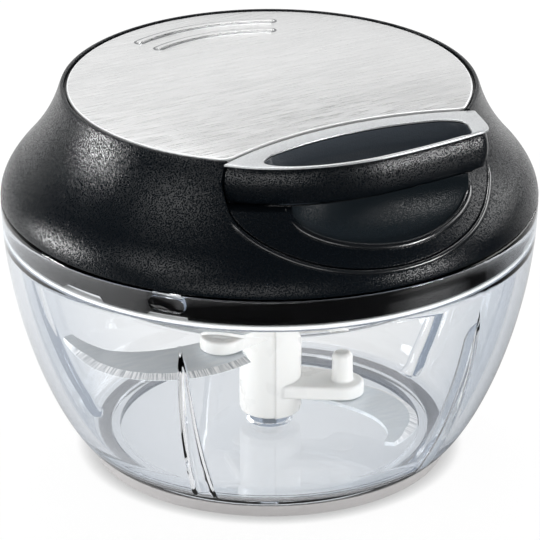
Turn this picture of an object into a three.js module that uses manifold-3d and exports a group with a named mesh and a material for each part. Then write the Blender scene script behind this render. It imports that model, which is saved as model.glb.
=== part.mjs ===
// Food chopper worked by a pull handle: a clear bowl, a lid with a spring-wound cord reel, and three blades.
// Lengths are in millimetres and +Z is up. The origin is the base's centre, and the handle pulls towards -Y.
// The lid is shown seated and not yet turned to its lock, with the bowl's lugs in the entries of its tracks.
import * as THREE from 'three';
import { mergeVertices } from 'three/addons/utils/BufferGeometryUtils.js';
import Module from 'manifold-3d';

const wasm = await Module();
wasm.setup();

const degree = Math.PI / 180;
const turn = 2 * Math.PI;

// Clearances
const seatGap = 0.3; // between pieces that touch
const slideGap = 0.5; // beside pieces that move past each other
const overrun = 3; // how far a cutter passes the face that it cuts
const mergeReach = 0.0001; // points closer than this are one

// Fineness of round shapes, in steps around
const wideSteps = 44;
const middleSteps = 28;
const smallSteps = 16;

// Bowl
const footRingHeight = 3.2;
const footRingRadius = 44.4;
const footRingWidth = 3.8;
const footRidgeWidth = 2.3;
const footRidgeHeight = 2.2;
const bowlRadius = 66.2;
const bowlFootRadius = 45.5;
const bowlRimZ = 67.5;
const bowlWall = 2.9;
const bowlFloor = 2.8;
const collarWall = 1.9;
const collarDepth = 8.4;
const rimRound = 0.5;
const bellyShares = [[0.445, 0.125], [1, 0.59]]; // the two inner handles of the side's curve
const bellySteps = 8;

// Ribs on the bowl's inner wall
const ribCount = 5;
const ribAngle = 221 * degree;
const ribTopZ = 50;
const ribTopWidth = 0.9;
const ribFootWidth = 6;
const ribDepth = 2.6;

// Bayonet lugs in the bowl's collar
const lugCount = 3;
const lugAngle = 218.5 * degree;
const lugWidth = 9.2;
const lugHeight = 3.8;
const lugReach = 1.7;
const lugDrop = 3.6; // from the bowl's rim to the lug's middle

// Steel pin in the bowl's floor
const pinRadius = 1.8;
const pinTopZ = 19.5;
const pinSeatDepth = 3.6;
const pinBossRadius = 5.2;
const pinBossHeight = 2.3;

// Seal between the ledge and the skirt
const sealThickness = 0.9;
const sealWidth = 2.4;

// Lid cover
const lidHeight = 28.4;
const lidTopRadius = 51.2;
const coverWall = 2.4;
const coverRound = 0.6;
const deckThickness = 2.2;
const topRimWidth = 1;
const shoulderShares = [[1, 0.13], [0.84, 0.254], [0.653, 0.36], [0.42, 0.51], [0.16, 0.694]];
const shoulderSteps = 5;
const insideSteps = 2;
const spigotDepth = 2.5;
const spigotWall = 1.6;

// Lid base with the skirt and its tracks
const skirtWall = 3.2;
const skirtTrackDepth = 1.8;
const baseFloorRise = 2.4; // from the skirt's lower edge to the floor
const baseFloorThickness = 2;
const lockTurn = 22 * degree;
const notchTurn = 12.6 * degree;
const notchOffset = -21.5 * degree; // from a lug to the notch beside it
const notchHeight = 1.4;

// Steel plate on the lid
const plateThickness = 0.8;
const plateFold = 0.3;
const plateCornerRadius = 1.8;
const embossRadii = [42.5, 36.1];
const embossWidth = 3;
const embossHeight = 0.35;
const embossSweep = 50 * degree;
const embossAngle = 85 * degree;
const embossSlope = 0.4;

// Recess for the handle in the lid, and the insert that lines it
const recessSideGap = 0.7; // beside the handle
const recessRear = 31.4; // from the lid's axis to the rear edge's middle
const recessArcRadius = 85;
const recessMiddleDrop = 10.2; // from the lid's top to the widest level of the round lower edge
const recessDepth = 13.5; // from there down
const seamGap = 0.35;
const wellRearWall = 1.8;
const fingerHalfWidth = 26;
const fingerHalfLength = 17;
const fingerDepth = 10.5;
const fingerForward = 55;
const fingerMiddleDrop = 9.2; // from the lid's top to the scoop's centre

// Handle
const handleHalfWidth = 34.6;
const handleFront = 53.9;
const handleFrontArcRadius = 200;
const handleHeight = 9;
const handleRound = 0.7;
const trimThickness = 0.7;
const handleTopDrop = 0.2; // the trim's top lies this far under the lid's top
const rearBand = 4.5;
const rearBandLow = 6.2;
const frontStrip = 1.1;
const frontStripLow = 1.9;
const slotSideWall = 5.6;
const slotSlopeShare = 0.42; // of the grip's height, from its top
// Cubic corners in shares of the width across and of the length forward, from the front round to the rear.
// The right corner is square and the left one is swept back.
const gripRightShares = [[[0.8, 0.87], [0.936, 0.845], [0.928, 0.77], [1, 0.085]]];
const gripLeftShares = [[[0, 1], [0.405, 0.952], [0.78, 0.597], [1, 0]]];
const slotRightShares = [
  [[0.82, 0.97], [0.93, 0.958], [0.93, 0.836], [0.966, 0.66]],
  [[0.966, 0.66], [1.01, 0.48], [0.985, 0.35], [0.81, 0.21]],
];
const slotLeftShares = [
  [[0, 1], [0.414, 0.982], [0.776, 0.733], [0.869, 0.497]],
  [[0.869, 0.497], [0.91, 0.394], [0.883, 0.321], [0.759, 0.19]],
];
const trimPegRadius = 1.2;
const trimPegLength = 4;
const trimPegPlaceShares = [[0.91, 0.12], [-0.853, 0.1]];

// Cord, its guide and its ferrule
const cordRadius = 1;
const cordPitch = 2.6;
const cordTurns = 3.25;
const cordBendReach = 4;
const guideBore = 1.4;
const guideBarrelRadius = 2.2;
const guideFlangeRadius = 3.2;
const guideFlangeThickness = 0.9;
const guideStandoff = 4; // from the flange to the cord's bend
const ferruleRadius = 1.9;
const ferruleLength = 2.8;
const ferruleWall = 1.5; // grip wall that the ferrule pulls on

// Reel, its spring and its bearings
const reelFlangeThickness = 1.4;
const reelFlangeRadius = 20.5;
const reelBarrelRadius = 15;
const springCupRadius = 24.5;
const springCupWall = 1.5;
const springCupDepth = 9.2;
const springCoverThickness = 1;
const springStripWidth = 6;
const springStripThickness = 0.6;
const springTurns = 6;
const reelShaftRadius = 8;
const socketRadius = 5.6;
const socketDepth = 8.8;
const socketDogWidth = 2.4;
const socketDogReach = 2.4;
const axleRadius = 2;
const axleBossRadius = 4.5;
const axleBossHeight = 1.4;
const axleLength = 14;
const axleSeatDepth = 3;
const bushWall = 1.3;
const bushLength = 10.2;
const bushFlangeWidth = 2.4;
const bushFlangeThickness = 0.8;
const bushRunningGap = 0.3;
const sleeveWall = 2;

// Screws
const screwRadius = 1.5;
const screwHeadRadius = 2.8;
const screwHeadHeight = 1.6;
const screwCrownRadius = 2;
const screwTipLength = 1.6;
const screwDriveWidth = 0.8;
const screwDriveDepth = 0.8;
const screwDriveReach = 1.7;
const baseScrewLength = 13;
const baseScrewInset = 16.8; // from the skirt's inner wall to the screws' circle
const baseScrewAngles = [35 * degree, 145 * degree, 190 * degree, 350 * degree];
const screwBossWall = 2;
const wellScrewLength = 15;
const wellScrewAcross = 14;
const wellScrewForward = 44;

// Blade unit
const hubRadius = 8;
const hubTopGap = 1.6; // under the skirt's lower edge
const hubEdge = 0.8;
const tangWidth = 9.6;
const tangThickness = 3.4;
const tangLength = 9.4;
const hubBushWall = 1.3;
const hubBushLength = 8.8;
const armThickness = 3.4;
const armRootWidth = 14;
const armEndRadius = 5.4;
const rivetCircle = 18.5;
const rivetRadius = 1.8;
const rivetHeadRadius = 3.2;
const rivetHeadHeight = 1;
const armBossRadius = 2.65;
const armBossHeight = 7.6;
const armBossRound = 1;
const bladeThickness = 1;
const bladeBevel = 2;
const bladeFirstAngle = 283 * degree;
const bladeStep = 120 * degree;
const armLead = 38 * degree; // an arm stands this far ahead of its blade's tip
const bladeNames = ['blade_low', 'blade_middle', 'blade_high'];
const bladeRise = 4.3; // from the hub's foot to the lowest blade
const bladePitch = 8.8;
const bladeRibGap = 2.2; // from a blade's tip to the bowl's ribs
const bladeBend = 10 * degree; // the outer end bends up
const bladeBendLean = -27 * degree;
const bladeBendShare = 0.67;
const bladeEdgeShares = [[0.17, 0.365], [0.42, 0.55], [0.9, 0.56], [1, 0]];
const bladeTipShares = [0.955, -0.03];
const bladeBackShares = [[0.8, 0.24], [0.55, 0.22], [0.2, 0.08]];
const bladeEdgeSteps = 14;

// Levels that follow from the sizes above
const bowlBaseZ = footRingHeight + seatGap;
const bowlFloorZ = bowlBaseZ + bowlFloor;
const collarRadius = bowlRadius - collarWall;
const ledgeZ = bowlRimZ - collarDepth;
const lugZ = bowlRimZ - lugDrop;
const skirtZ = ledgeZ + sealThickness + 2 * seatGap;
const skirtRadius = collarRadius - seatGap;
const baseScrewCircle = skirtRadius - skirtWall - baseScrewInset;
const lidZ = bowlRimZ + seatGap;
const lidTopZ = lidZ + lidHeight;
const baseFloorZ = skirtZ + baseFloorRise;
const baseFloorTopZ = baseFloorZ + baseFloorThickness;
const plateZ = lidTopZ - plateThickness - seatGap / 3;
const deckTopZ = plateZ - seatGap;
const deckZ = deckTopZ - deckThickness;
const plateRadius = lidTopRadius - topRimWidth - seatGap;
const handleTopZ = lidTopZ - handleTopDrop;
const gripTopZ = handleTopZ - trimThickness - seatGap;
const gripZ = gripTopZ - handleHeight;
const recessHalfWidth = handleHalfWidth + recessSideGap;
const slotHalfWidth = handleHalfWidth - slotSideWall;
const handleRear = recessRear + slideGap;
const handleSide = arcForward(handleRear, recessArcRadius, handleHalfWidth);
const wellFloorZ = gripZ - seatGap;
const wellWallZ = deckZ - seatGap;
const reelTopZ = deckZ - axleBossHeight - slideGap;
const barrelTopZ = reelTopZ - reelFlangeThickness;
const barrelZ = barrelTopZ - cordPitch * cordTurns - 2 * (cordRadius + seatGap);
const cupRoofZ = barrelZ - reelFlangeThickness;
const cupZ = cupRoofZ - springCupDepth;
const cordTopZ = barrelTopZ - seatGap - cordRadius;
const cordCoilRadius = reelBarrelRadius + seatGap + cordRadius;
const bushInner = reelShaftRadius + bushRunningGap;
const sleeveInner = bushInner + bushWall + seatGap;
const sleeveRadius = sleeveInner + sleeveWall;
const sleeveTopZ = cupRoofZ - slideGap;
const shaftZ = baseFloorZ - bushFlangeThickness - seatGap;
const hubTopZ = skirtZ - hubTopGap;
const pinSeatZ = bowlFloorZ + pinBossHeight - pinSeatDepth;
const hubZ = bowlFloorZ + pinBossHeight + slideGap;
const pinHoleRadius = pinRadius + seatGap;
const bladeLevels = bladeNames.map((_, i) => hubZ + bladeRise + bladePitch * i);

const materials = {
  clear: new THREE.MeshStandardMaterial({
    color: '#dfe6ea',
    roughness: 0.1,
    transparent: true,
    opacity: 0.35,
  }),
  ring: new THREE.MeshStandardMaterial({ color: '#e4e6e6', roughness: 0.5 }),
  seal: new THREE.MeshStandardMaterial({ color: '#d9dcdc', roughness: 0.6 }),
  black: new THREE.MeshStandardMaterial({ color: '#17181a', roughness: 0.5 }),
  white: new THREE.MeshStandardMaterial({ color: '#f1f1ef', roughness: 0.35 }),
  natural: new THREE.MeshStandardMaterial({ color: '#dedbd0', roughness: 0.5 }),
  silver: new THREE.MeshStandardMaterial({ color: '#c9cbcc', roughness: 0.4, metalness: 0.7 }),
  brushed: new THREE.MeshStandardMaterial({ color: '#cfd0d1', roughness: 0.35, metalness: 1 }),
  blade: new THREE.MeshStandardMaterial({ color: '#c3c8cb', roughness: 0.22, metalness: 1 }),
  steel: new THREE.MeshStandardMaterial({ color: '#a9acae', roughness: 0.35, metalness: 1 }),
  brass: new THREE.MeshStandardMaterial({ color: '#b9985a', roughness: 0.35, metalness: 1 }),
  cord: new THREE.MeshStandardMaterial({ color: '#e8e8e4', roughness: 0.9 }),
};

// Forward place of an arc that bulges towards the lid's axis, at a distance across
function arcForward(middle, radius, across) {
  return middle + radius - Math.sqrt(radius * radius - across * across);
}

// Forward place of an arc that bulges away from the lid's axis
function bulgeForward(middle, radius, across) {
  return middle - radius + Math.sqrt(radius * radius - across * across);
}

// Six times the signed volume of a closed mesh: negative when its faces point in
function signedVolume(places, corners) {
  const [a, b, c] = [new THREE.Vector3(), new THREE.Vector3(), new THREE.Vector3()];
  let sum = 0;
  for (let i = 0; i < corners.length; i += 3) {
    a.fromArray(places, corners[i] * 3);
    b.fromArray(places, corners[i + 1] * 3);
    c.fromArray(places, corners[i + 2] * 3);
    sum += a.dot(b.cross(c));
  }
  return sum;
}

// A closed three.js geometry as a solid that can be joined and cut
function solidOf(source) {
  const bare = new THREE.BufferGeometry();
  bare.setAttribute('position', source.getAttribute('position'));
  bare.setIndex(source.index);
  const merged = mergeVertices(bare, mergeReach);
  const corners = merged.index.array;
  const kept = [];
  for (let i = 0; i < corners.length; i += 3) {
    const [a, b, c] = corners.slice(i, i + 3);
    if (a !== b && b !== c && c !== a) kept.push(a, b, c);
  }
  const places = merged.getAttribute('position').array;
  if (signedVolume(places, kept) < 0) kept.reverse();
  const mesh = new wasm.Mesh({
    numProp: 3,
    vertProperties: new Float32Array(places),
    triVerts: new Uint32Array(kept),
  });
  return new wasm.Manifold(mesh);
}

function asSolid(shape) {
  return shape instanceof THREE.BufferGeometry ? solidOf(shape) : shape;
}

function join(...shapes) {
  return shapes.map(asSolid).reduce((whole, shape) => whole.add(shape));
}

function cut(body, ...cutters) {
  return cutters.map(asSolid).reduce((rest, cutter) => rest.subtract(cutter), asSolid(body));
}

function common(...shapes) {
  return shapes.map(asSolid).reduce((whole, shape) => whole.intersect(shape));
}

function geometryOf(shape) {
  const mesh = asSolid(shape).getMesh();
  const geometry = new THREE.BufferGeometry();
  geometry.setAttribute('position', new THREE.BufferAttribute(new Float32Array(mesh.vertProperties), 3));
  geometry.setIndex(new THREE.BufferAttribute(new Uint32Array(mesh.triVerts), 1));
  const faceted = geometry.toNonIndexed();
  faceted.computeVertexNormals();
  return faceted;
}

// Outline of [radius, height] places turned about Z. It closes on itself or starts and ends on the axis.
function revolve(outline, steps = wideSteps) {
  const points = outline.map(([radius, height]) => new THREE.Vector2(radius, height));
  const onAxis = points[0].x === 0 && points[points.length - 1].x === 0;
  if (!onAxis) points.push(points[0].clone());
  return new THREE.LatheGeometry(points, steps).rotateX(Math.PI / 2);
}

function ring(inner, outer, low, high, steps = middleSteps) {
  return revolve([[inner, low], [outer, low], [outer, high], [inner, high]], steps);
}

function disc(radius, low, high, steps = smallSteps) {
  return revolve([[0, low], [radius, low], [radius, high], [0, high]], steps);
}

function extrudeUp(shape, low, high, curveSegments = smallSteps) {
  const settings = { depth: high - low, bevelEnabled: false, curveSegments };
  return new THREE.ExtrudeGeometry(shape, settings).translate(0, 0, low);
}

// An outline across and upwards, extruded towards -Y
function extrudeForward(shape, near, far, curveSegments = smallSteps) {
  const settings = { depth: far - near, bevelEnabled: false, curveSegments };
  return new THREE.ExtrudeGeometry(shape, settings).translate(0, 0, near).rotateX(Math.PI / 2);
}

// The same, extruded away from the Z axis in the direction of an angle
function extrudeOut(shape, near, far, angle, curveSegments = smallSteps) {
  return extrudeForward(shape, near, far, curveSegments).rotateZ(angle + Math.PI / 2);
}

function shapeOf(places) {
  return new THREE.Shape(places.map(([x, y]) => new THREE.Vector2(x, y)));
}

function box(halfWidth, near, far, low, high) {
  const outline = [[-halfWidth, low], [halfWidth, low], [halfWidth, high], [-halfWidth, high]];
  return extrudeForward(shapeOf(outline), near, far);
}

// Part of a flat ring between two angles
function sector(inner, outer, from, to, low, high) {
  const shape = new THREE.Shape();
  shape.absarc(0, 0, outer, from, to, false);
  shape.absarc(0, 0, inner, to, from, true);
  return extrudeUp(shape, low, high, smallSteps / 4);
}

// A closed body between two outlines with the same number of places, at two levels
function loft(lower, upper, low, high) {
  const flat = (outline) => outline.map(([x, y]) => new THREE.Vector2(x, y));
  if (THREE.ShapeUtils.isClockWise(flat(lower))) {
    return loft([...lower].reverse(), [...upper].reverse(), low, high);
  }
  const count = lower.length;
  const places = [];
  for (const [x, y] of lower) places.push(x, y, low);
  for (const [x, y] of upper) places.push(x, y, high);
  const corners = [];
  for (let i = 0; i < count; i += 1) {
    const next = (i + 1) % count;
    corners.push(i, next, count + next, i, count + next, count + i);
  }
  for (const [a, b, c] of THREE.ShapeUtils.triangulateShape(flat(lower), [])) corners.push(c, b, a);
  for (const [a, b, c] of THREE.ShapeUtils.triangulateShape(flat(upper), [])) {
    corners.push(count + a, count + b, count + c);
  }
  const geometry = new THREE.BufferGeometry();
  geometry.setAttribute('position', new THREE.Float32BufferAttribute(places, 3));
  geometry.setIndex(corners);
  return geometry;
}

// A curve's points moved inwards, square to the curve
function inset(points, distance) {
  return points.map((point, i) => {
    const before = points[Math.max(i - 1, 0)];
    const after = points[Math.min(i + 1, points.length - 1)];
    const along = after.clone().sub(before).normalize();
    return new THREE.Vector2(point.x - along.y * distance, point.y + along.x * distance);
  });
}

function mix(low, high, share) {
  return low + (high - low) * share;
}

function cubic(places) {
  return new THREE.CubicBezierCurve(...places.map(([x, y]) => new THREE.Vector2(x, y)));
}

// Side of the bowl, from its foot to its rim
function bellyCurve(steps) {
  const place = ([across, up]) => [mix(bowlFootRadius, bowlRadius, across), mix(bowlBaseZ, bowlRimZ, up)];
  return cubic([[0, 0], ...bellyShares, [1, 1]].map(place)).getPoints(steps);
}

// Outside of the lid, from its lower edge to its top edge
function shoulderCurve(steps) {
  const place = ([across, up]) => [mix(lidTopRadius, bowlRadius, across), mix(lidZ, lidTopZ, up)];
  const places = [[1, 0], ...shoulderShares, [0, 1]].map(place);
  const lower = cubic(places.slice(0, 4)).getPoints(steps);
  const upper = cubic(places.slice(3)).getPoints(steps);
  return [...lower, ...upper.slice(1)];
}

function pairs(points) {
  return points.map((point) => [point.x, point.y]);
}

// Radius of a rising curve at a level
function radiusAt(points, level) {
  const above = points.findIndex((point) => point.y >= level);
  const [low, high] = [points[above - 1], points[above]];
  return mix(low.x, high.x, (level - low.y) / (high.y - low.y));
}

// Widening fin, kept to a band on the bowl's inner wall
function bowlRib(angle) {
  const low = bowlFloorZ - seatGap;
  const outline = [
    [-ribFootWidth / 2, low],
    [ribFootWidth / 2, low],
    [ribTopWidth / 2, ribTopZ],
    [-ribTopWidth / 2, ribTopZ],
  ];
  return extrudeOut(shapeOf(outline), bowlFootRadius / 2, bowlRadius, angle);
}

function ribBand() {
  const curve = bellyCurve(bellySteps);
  const inner = inset(curve, bowlWall + ribDepth).filter((point) => point.y > bowlFloorZ);
  const outer = inset(curve, bowlWall / 2).filter((point) => point.y > bowlFloorZ);
  return revolve([...pairs(outer), ...pairs(inner).reverse()]);
}

function stadium(width, height, centre) {
  const shape = new THREE.Shape();
  const radius = height / 2;
  const reach = width / 2 - radius;
  shape.absarc(reach, centre, radius, -Math.PI / 2, Math.PI / 2, false);
  shape.absarc(-reach, centre, radius, Math.PI / 2, 1.5 * Math.PI, false);
  return shape;
}

function bowlLug(angle) {
  const outline = stadium(lugWidth, lugHeight, lugZ);
  return extrudeOut(outline, collarRadius - lugReach, collarRadius + collarWall / 2, angle, smallSteps / 4);
}

// Evenly spaced angles
function anglesFrom(first, count) {
  return Array.from({ length: count }, (_, i) => first + (turn * i) / count);
}

function makeBowl() {
  const ridgeOuter = footRingRadius - footRingWidth - seatGap;
  const ridgeInner = ridgeOuter - footRidgeWidth;
  const ridgeZ = bowlBaseZ - footRidgeHeight;
  const side = pairs(bellyCurve(bellySteps)).slice(0, -1);
  const wall = inset(bellyCurve(bellySteps), bowlWall);
  const inside = pairs(wall.filter((point) => point.y > bowlFloorZ && point.y < ledgeZ)).reverse();
  const shell = revolve([
    [0, bowlBaseZ],
    [ridgeInner, bowlBaseZ],
    [ridgeInner, ridgeZ],
    [ridgeOuter, ridgeZ],
    [ridgeOuter, bowlBaseZ],
    ...side,
    [bowlRadius, bowlRimZ - rimRound],
    [bowlRadius - rimRound, bowlRimZ],
    [collarRadius + rimRound, bowlRimZ],
    [collarRadius, bowlRimZ - rimRound],
    [collarRadius, ledgeZ],
    [radiusAt(wall, ledgeZ), ledgeZ],
    ...inside,
    [radiusAt(wall, bowlFloorZ), bowlFloorZ],
    [0, bowlFloorZ],
  ]);
  const boss = disc(pinBossRadius, bowlBaseZ + seatGap, bowlFloorZ + pinBossHeight, smallSteps);
  const pinHole = disc(pinHoleRadius, pinSeatZ - seatGap, bowlFloorZ + pinBossHeight + overrun);
  const ribs = common(join(...anglesFrom(ribAngle, ribCount).map(bowlRib)), ribBand());
  return cut(join(shell, boss, ribs, ...anglesFrom(lugAngle, lugCount).map(bowlLug)), pinHole);
}

function makeFootRing() {
  const inner = footRingRadius - footRingWidth;
  return revolve([
    [inner, 0],
    [footRingRadius - rimRound, 0],
    [footRingRadius, rimRound],
    [footRingRadius, footRingHeight],
    [inner, footRingHeight],
  ]);
}

function makePivotPin() {
  const edge = pinRadius / 3;
  return revolve([
    [0, pinSeatZ],
    [pinRadius, pinSeatZ],
    [pinRadius, pinTopZ - edge],
    [pinRadius - edge, pinTopZ],
    [0, pinTopZ],
  ], smallSteps);
}

function makeSeal() {
  const outer = collarRadius - seatGap;
  return ring(outer - sealWidth, outer, ledgeZ + seatGap, ledgeZ + seatGap + sealThickness, wideSteps);
}

// Everything of the lid's front recess: a region in plan and a round-bottomed outline seen from the front
function recessBlock(halfWidth, depth, rear, low) {
  const reach = bowlRadius + overrun;
  const plan = new THREE.Shape();
  const centre = rear + recessArcRadius;
  const half = Math.asin(halfWidth / recessArcRadius);
  plan.moveTo(halfWidth, -reach);
  plan.lineTo(-halfWidth, -reach);
  plan.absarc(0, -centre, recessArcRadius, Math.PI / 2 + half, Math.PI / 2 - half, true);
  const middle = lidTopZ - recessMiddleDrop;
  const front = new THREE.Shape();
  front.moveTo(halfWidth, lidTopZ + overrun);
  front.lineTo(-halfWidth, lidTopZ + overrun);
  front.lineTo(-halfWidth, middle);
  front.absellipse(0, middle, halfWidth, depth, Math.PI, turn, false);
  return common(extrudeUp(plan, low, lidTopZ + overrun), extrudeForward(front, 0, reach));
}

function screwBoss(angle) {
  const [x, y] = [baseScrewCircle * Math.cos(angle), baseScrewCircle * Math.sin(angle)];
  const low = baseFloorTopZ + seatGap;
  return disc(screwRadius + seatGap + screwBossWall, low, deckTopZ - deckThickness / 2).translate(x, y, 0);
}

function screwHole(x, y, low, high) {
  return disc(screwRadius + seatGap, low, high, smallSteps / 2).translate(x, y, 0);
}

function makeLidCover() {
  const outside = pairs(shoulderCurve(shoulderSteps)).slice(1, -1);
  const flangeTopZ = lidZ + coverWall;
  const inside = inset(shoulderCurve(insideSteps), coverWall);
  const kept = inside.filter((point) => point.y > flangeTopZ && point.y < deckZ);
  const spigotRadius = skirtRadius - skirtWall - seatGap;
  const rimInner = plateRadius + seatGap;
  const shell = revolve([
    [spigotRadius, lidZ],
    [bowlRadius - coverRound, lidZ],
    [bowlRadius, lidZ + coverRound],
    ...outside.filter(([, height]) => height > lidZ + coverRound),
    [lidTopRadius, lidTopZ - coverRound / 2],
    [lidTopRadius - coverRound / 2, lidTopZ],
    [rimInner, lidTopZ],
    [rimInner, deckTopZ],
    [0, deckTopZ],
    [0, deckZ],
    [radiusAt(inside, deckZ), deckZ],
    ...pairs(kept).reverse(),
    [radiusAt(inside, flangeTopZ), flangeTopZ],
    [spigotRadius - spigotWall, flangeTopZ],
    [spigotRadius - spigotWall, lidZ - spigotDepth],
    [spigotRadius, lidZ - spigotDepth],
  ]);
  const axleBoss = disc(axleBossRadius, deckZ - axleBossHeight, deckTopZ - deckThickness / 2);
  const axleHole = disc(axleRadius + seatGap, deckZ - axleBossHeight - overrun, axleTopZ() + seatGap);
  const depth = baseScrewLength + seatGap - screwGripZ();
  const holes = baseScrewAngles.map((angle) => screwHole(
    baseScrewCircle * Math.cos(angle),
    baseScrewCircle * Math.sin(angle),
    baseFloorTopZ - overrun,
    baseFloorTopZ + depth,
  ));
  const recess = recessBlock(recessHalfWidth, recessDepth, recessRear, lidZ + coverWall);
  return cut(join(shell, axleBoss, ...baseScrewAngles.map(screwBoss)), axleHole, ...holes, recess);
}

function axleTopZ() {
  return deckZ - axleBossHeight + axleSeatDepth;
}

// How much of a screw lies in the base's floor
function screwGripZ() {
  return baseFloorThickness + seatGap;
}

// Arc-shaped band with round ends, flat on the plate
function embossBand(radius) {
  const half = embossSweep / 2;
  const width = embossWidth / 2 - embossSlope;
  const shape = new THREE.Shape();
  const ends = [embossAngle - half, embossAngle + half];
  shape.absarc(0, 0, radius + width, ends[0], ends[1], false);
  const far = [radius * Math.cos(ends[1]), radius * Math.sin(ends[1])];
  shape.absarc(far[0], far[1], width, ends[1], ends[1] + Math.PI, false);
  shape.absarc(0, 0, radius - width, ends[1], ends[0], true);
  const near = [radius * Math.cos(ends[0]), radius * Math.sin(ends[0])];
  shape.absarc(near[0], near[1], width, ends[0] + Math.PI, ends[0] + turn, false);
  const settings = {
    depth: plateThickness / 4,
    bevelThickness: embossHeight,
    bevelSize: embossSlope,
    bevelSegments: 1,
    curveSegments: smallSteps / 4,
  };
  const low = plateZ + plateThickness - settings.depth;
  return new THREE.ExtrudeGeometry(shape, settings).translate(0, 0, low);
}

// Round plate whose front follows the recess, with rounded corners
function plateOutline() {
  const rear = recessRear - seatGap;
  const centre = rear + recessArcRadius;
  const circle = plateRadius - plateFold;
  const radius = recessArcRadius + plateFold;
  const down = (centre * centre + circle * circle - radius * radius) / (2 * centre);
  const across = Math.sqrt(circle * circle - down * down);
  const rim = Math.atan2(-down, across) + plateCornerRadius / circle;
  const arc = Math.asin(across / radius) - plateCornerRadius / radius;
  const shape = new THREE.Shape();
  shape.absarc(0, 0, circle, rim, Math.PI - rim, false);
  shape.quadraticCurveTo(-across, -down, -radius * Math.sin(arc), radius * Math.cos(arc) - centre);
  shape.absarc(0, -centre, radius, Math.PI / 2 + arc, Math.PI / 2 - arc, true);
  shape.quadraticCurveTo(across, -down, circle * Math.cos(rim), circle * Math.sin(rim));
  return shape;
}

function makeTopPlate() {
  const settings = {
    depth: plateThickness - 2 * plateFold,
    bevelThickness: plateFold,
    bevelSize: plateFold,
    bevelSegments: 1,
    curveSegments: wideSteps / 3,
  };
  const plate = new THREE.ExtrudeGeometry(plateOutline(), settings).translate(0, 0, plateZ + plateFold);
  const emboss = embossRadii.map(embossBand);
  const under = disc(plateRadius, plateZ - overrun, plateZ);
  return cut(join(plate, ...emboss), under);
}

function makeHandleWell() {
  const halfWidth = recessHalfWidth - seamGap;
  const depth = recessDepth - seamGap;
  const rear = recessRear - wellRearWall;
  const outside = pairs(shoulderCurve(shoulderSteps));
  const filled = revolve([[0, lidZ], ...outside, [0, lidTopZ]]);
  const front = recessBlock(halfWidth, depth, recessRear + seamGap, lidZ);
  const wall = recessBlock(halfWidth - coverWall, depth, rear, lidZ);
  const block = common(filled, join(front, wall));
  const overFloor = recessBlock(recessHalfWidth + overrun, depth, recessRear, wellFloorZ);
  const overWall = disc(bowlRadius + overrun, wellWallZ, lidTopZ + overrun, middleSteps);
  const scoop = new THREE.SphereGeometry(1, middleSteps, smallSteps)
    .rotateX(Math.PI / 2)
    .scale(fingerHalfWidth, fingerHalfLength, fingerDepth)
    .translate(0, -fingerForward, lidTopZ - fingerMiddleDrop);
  const guideShape = circleShape(guideBarrelRadius + seatGap, cordTopZ);
  const guideHole = extrudeForward(guideShape, rear - overrun, handleRear);
  const holes = [-1, 1].map((side) => screwHole(
    side * wellScrewAcross,
    -wellScrewForward,
    baseFloorZ,
    baseFloorZ - seatGap + wellScrewLength + seatGap,
  ));
  return cut(block, overFloor, overWall, scoop, guideHole, ...holes);
}

function circleShape(radius, centre) {
  const shape = new THREE.Shape();
  shape.absarc(0, centre, radius, 0, turn, false);
  return shape;
}

function makeCordGuide() {
  const front = recessRear;
  const flange = recessRear - wellRearWall - seatGap;
  const low = flange - guideFlangeThickness;
  return revolve([
    [guideBore, low],
    [guideFlangeRadius, low],
    [guideFlangeRadius, flange],
    [guideBarrelRadius, flange],
    [guideBarrelRadius, front],
    [guideBore, front],
  ], smallSteps).rotateX(Math.PI / 2).translate(0, 0, cordTopZ);
}

function skirtCutters(angle) {
  const inner = skirtRadius - skirtTrackDepth;
  const outer = skirtRadius + overrun;
  const half = (lugWidth / 2 + slideGap) / inner;
  const low = lugZ - lugHeight / 2 - slideGap;
  const high = lugZ + lugHeight / 2 + slideGap;
  const entry = sector(inner, outer, angle - half, angle + half, skirtZ - overrun, high);
  const track = sector(inner, outer, angle - half, angle + half + lockTurn, low, high);
  const wide = (notchTurn / 2) * skirtRadius;
  const outline = [
    [-wide - overrun, skirtZ - overrun],
    [wide + overrun, skirtZ - overrun],
    [wide - notchHeight, skirtZ + notchHeight],
    [-wide + notchHeight, skirtZ + notchHeight],
  ];
  const notch = extrudeOut(shapeOf(outline), skirtRadius - skirtWall - overrun, outer, angle + notchOffset);
  return [entry, track, notch];
}

function makeLidBase() {
  const inner = skirtRadius - skirtWall;
  const wellBossTopZ = lidTopZ - recessMiddleDrop - recessDepth - seatGap;
  const shell = revolve([
    [sleeveInner, baseFloorZ],
    [inner, baseFloorZ],
    [inner, skirtZ],
    [skirtRadius, skirtZ],
    [skirtRadius, lidZ - seatGap],
    [inner, lidZ - seatGap],
    [inner, baseFloorTopZ],
    [sleeveRadius, baseFloorTopZ],
    [sleeveRadius, sleeveTopZ],
    [sleeveInner, sleeveTopZ],
  ]);
  const bossRadius = screwRadius + seatGap + screwBossWall;
  const bosses = [-1, 1].map((side) => disc(bossRadius, baseFloorTopZ - baseFloorThickness / 2, wellBossTopZ)
    .translate(side * wellScrewAcross, -wellScrewForward, 0));
  const wellHoles = [-1, 1].map((side) => screwHole(
    side * wellScrewAcross,
    -wellScrewForward,
    baseFloorZ - overrun,
    wellBossTopZ + overrun,
  ));
  const baseHoles = baseScrewAngles.map((angle) => screwHole(
    baseScrewCircle * Math.cos(angle),
    baseScrewCircle * Math.sin(angle),
    baseFloorZ - overrun,
    baseFloorTopZ + seatGap,
  ));
  const tracks = anglesFrom(lugAngle, lugCount).flatMap(skirtCutters);
  return cut(join(shell, ...bosses), ...wellHoles, ...baseHoles, ...tracks);
}

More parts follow.
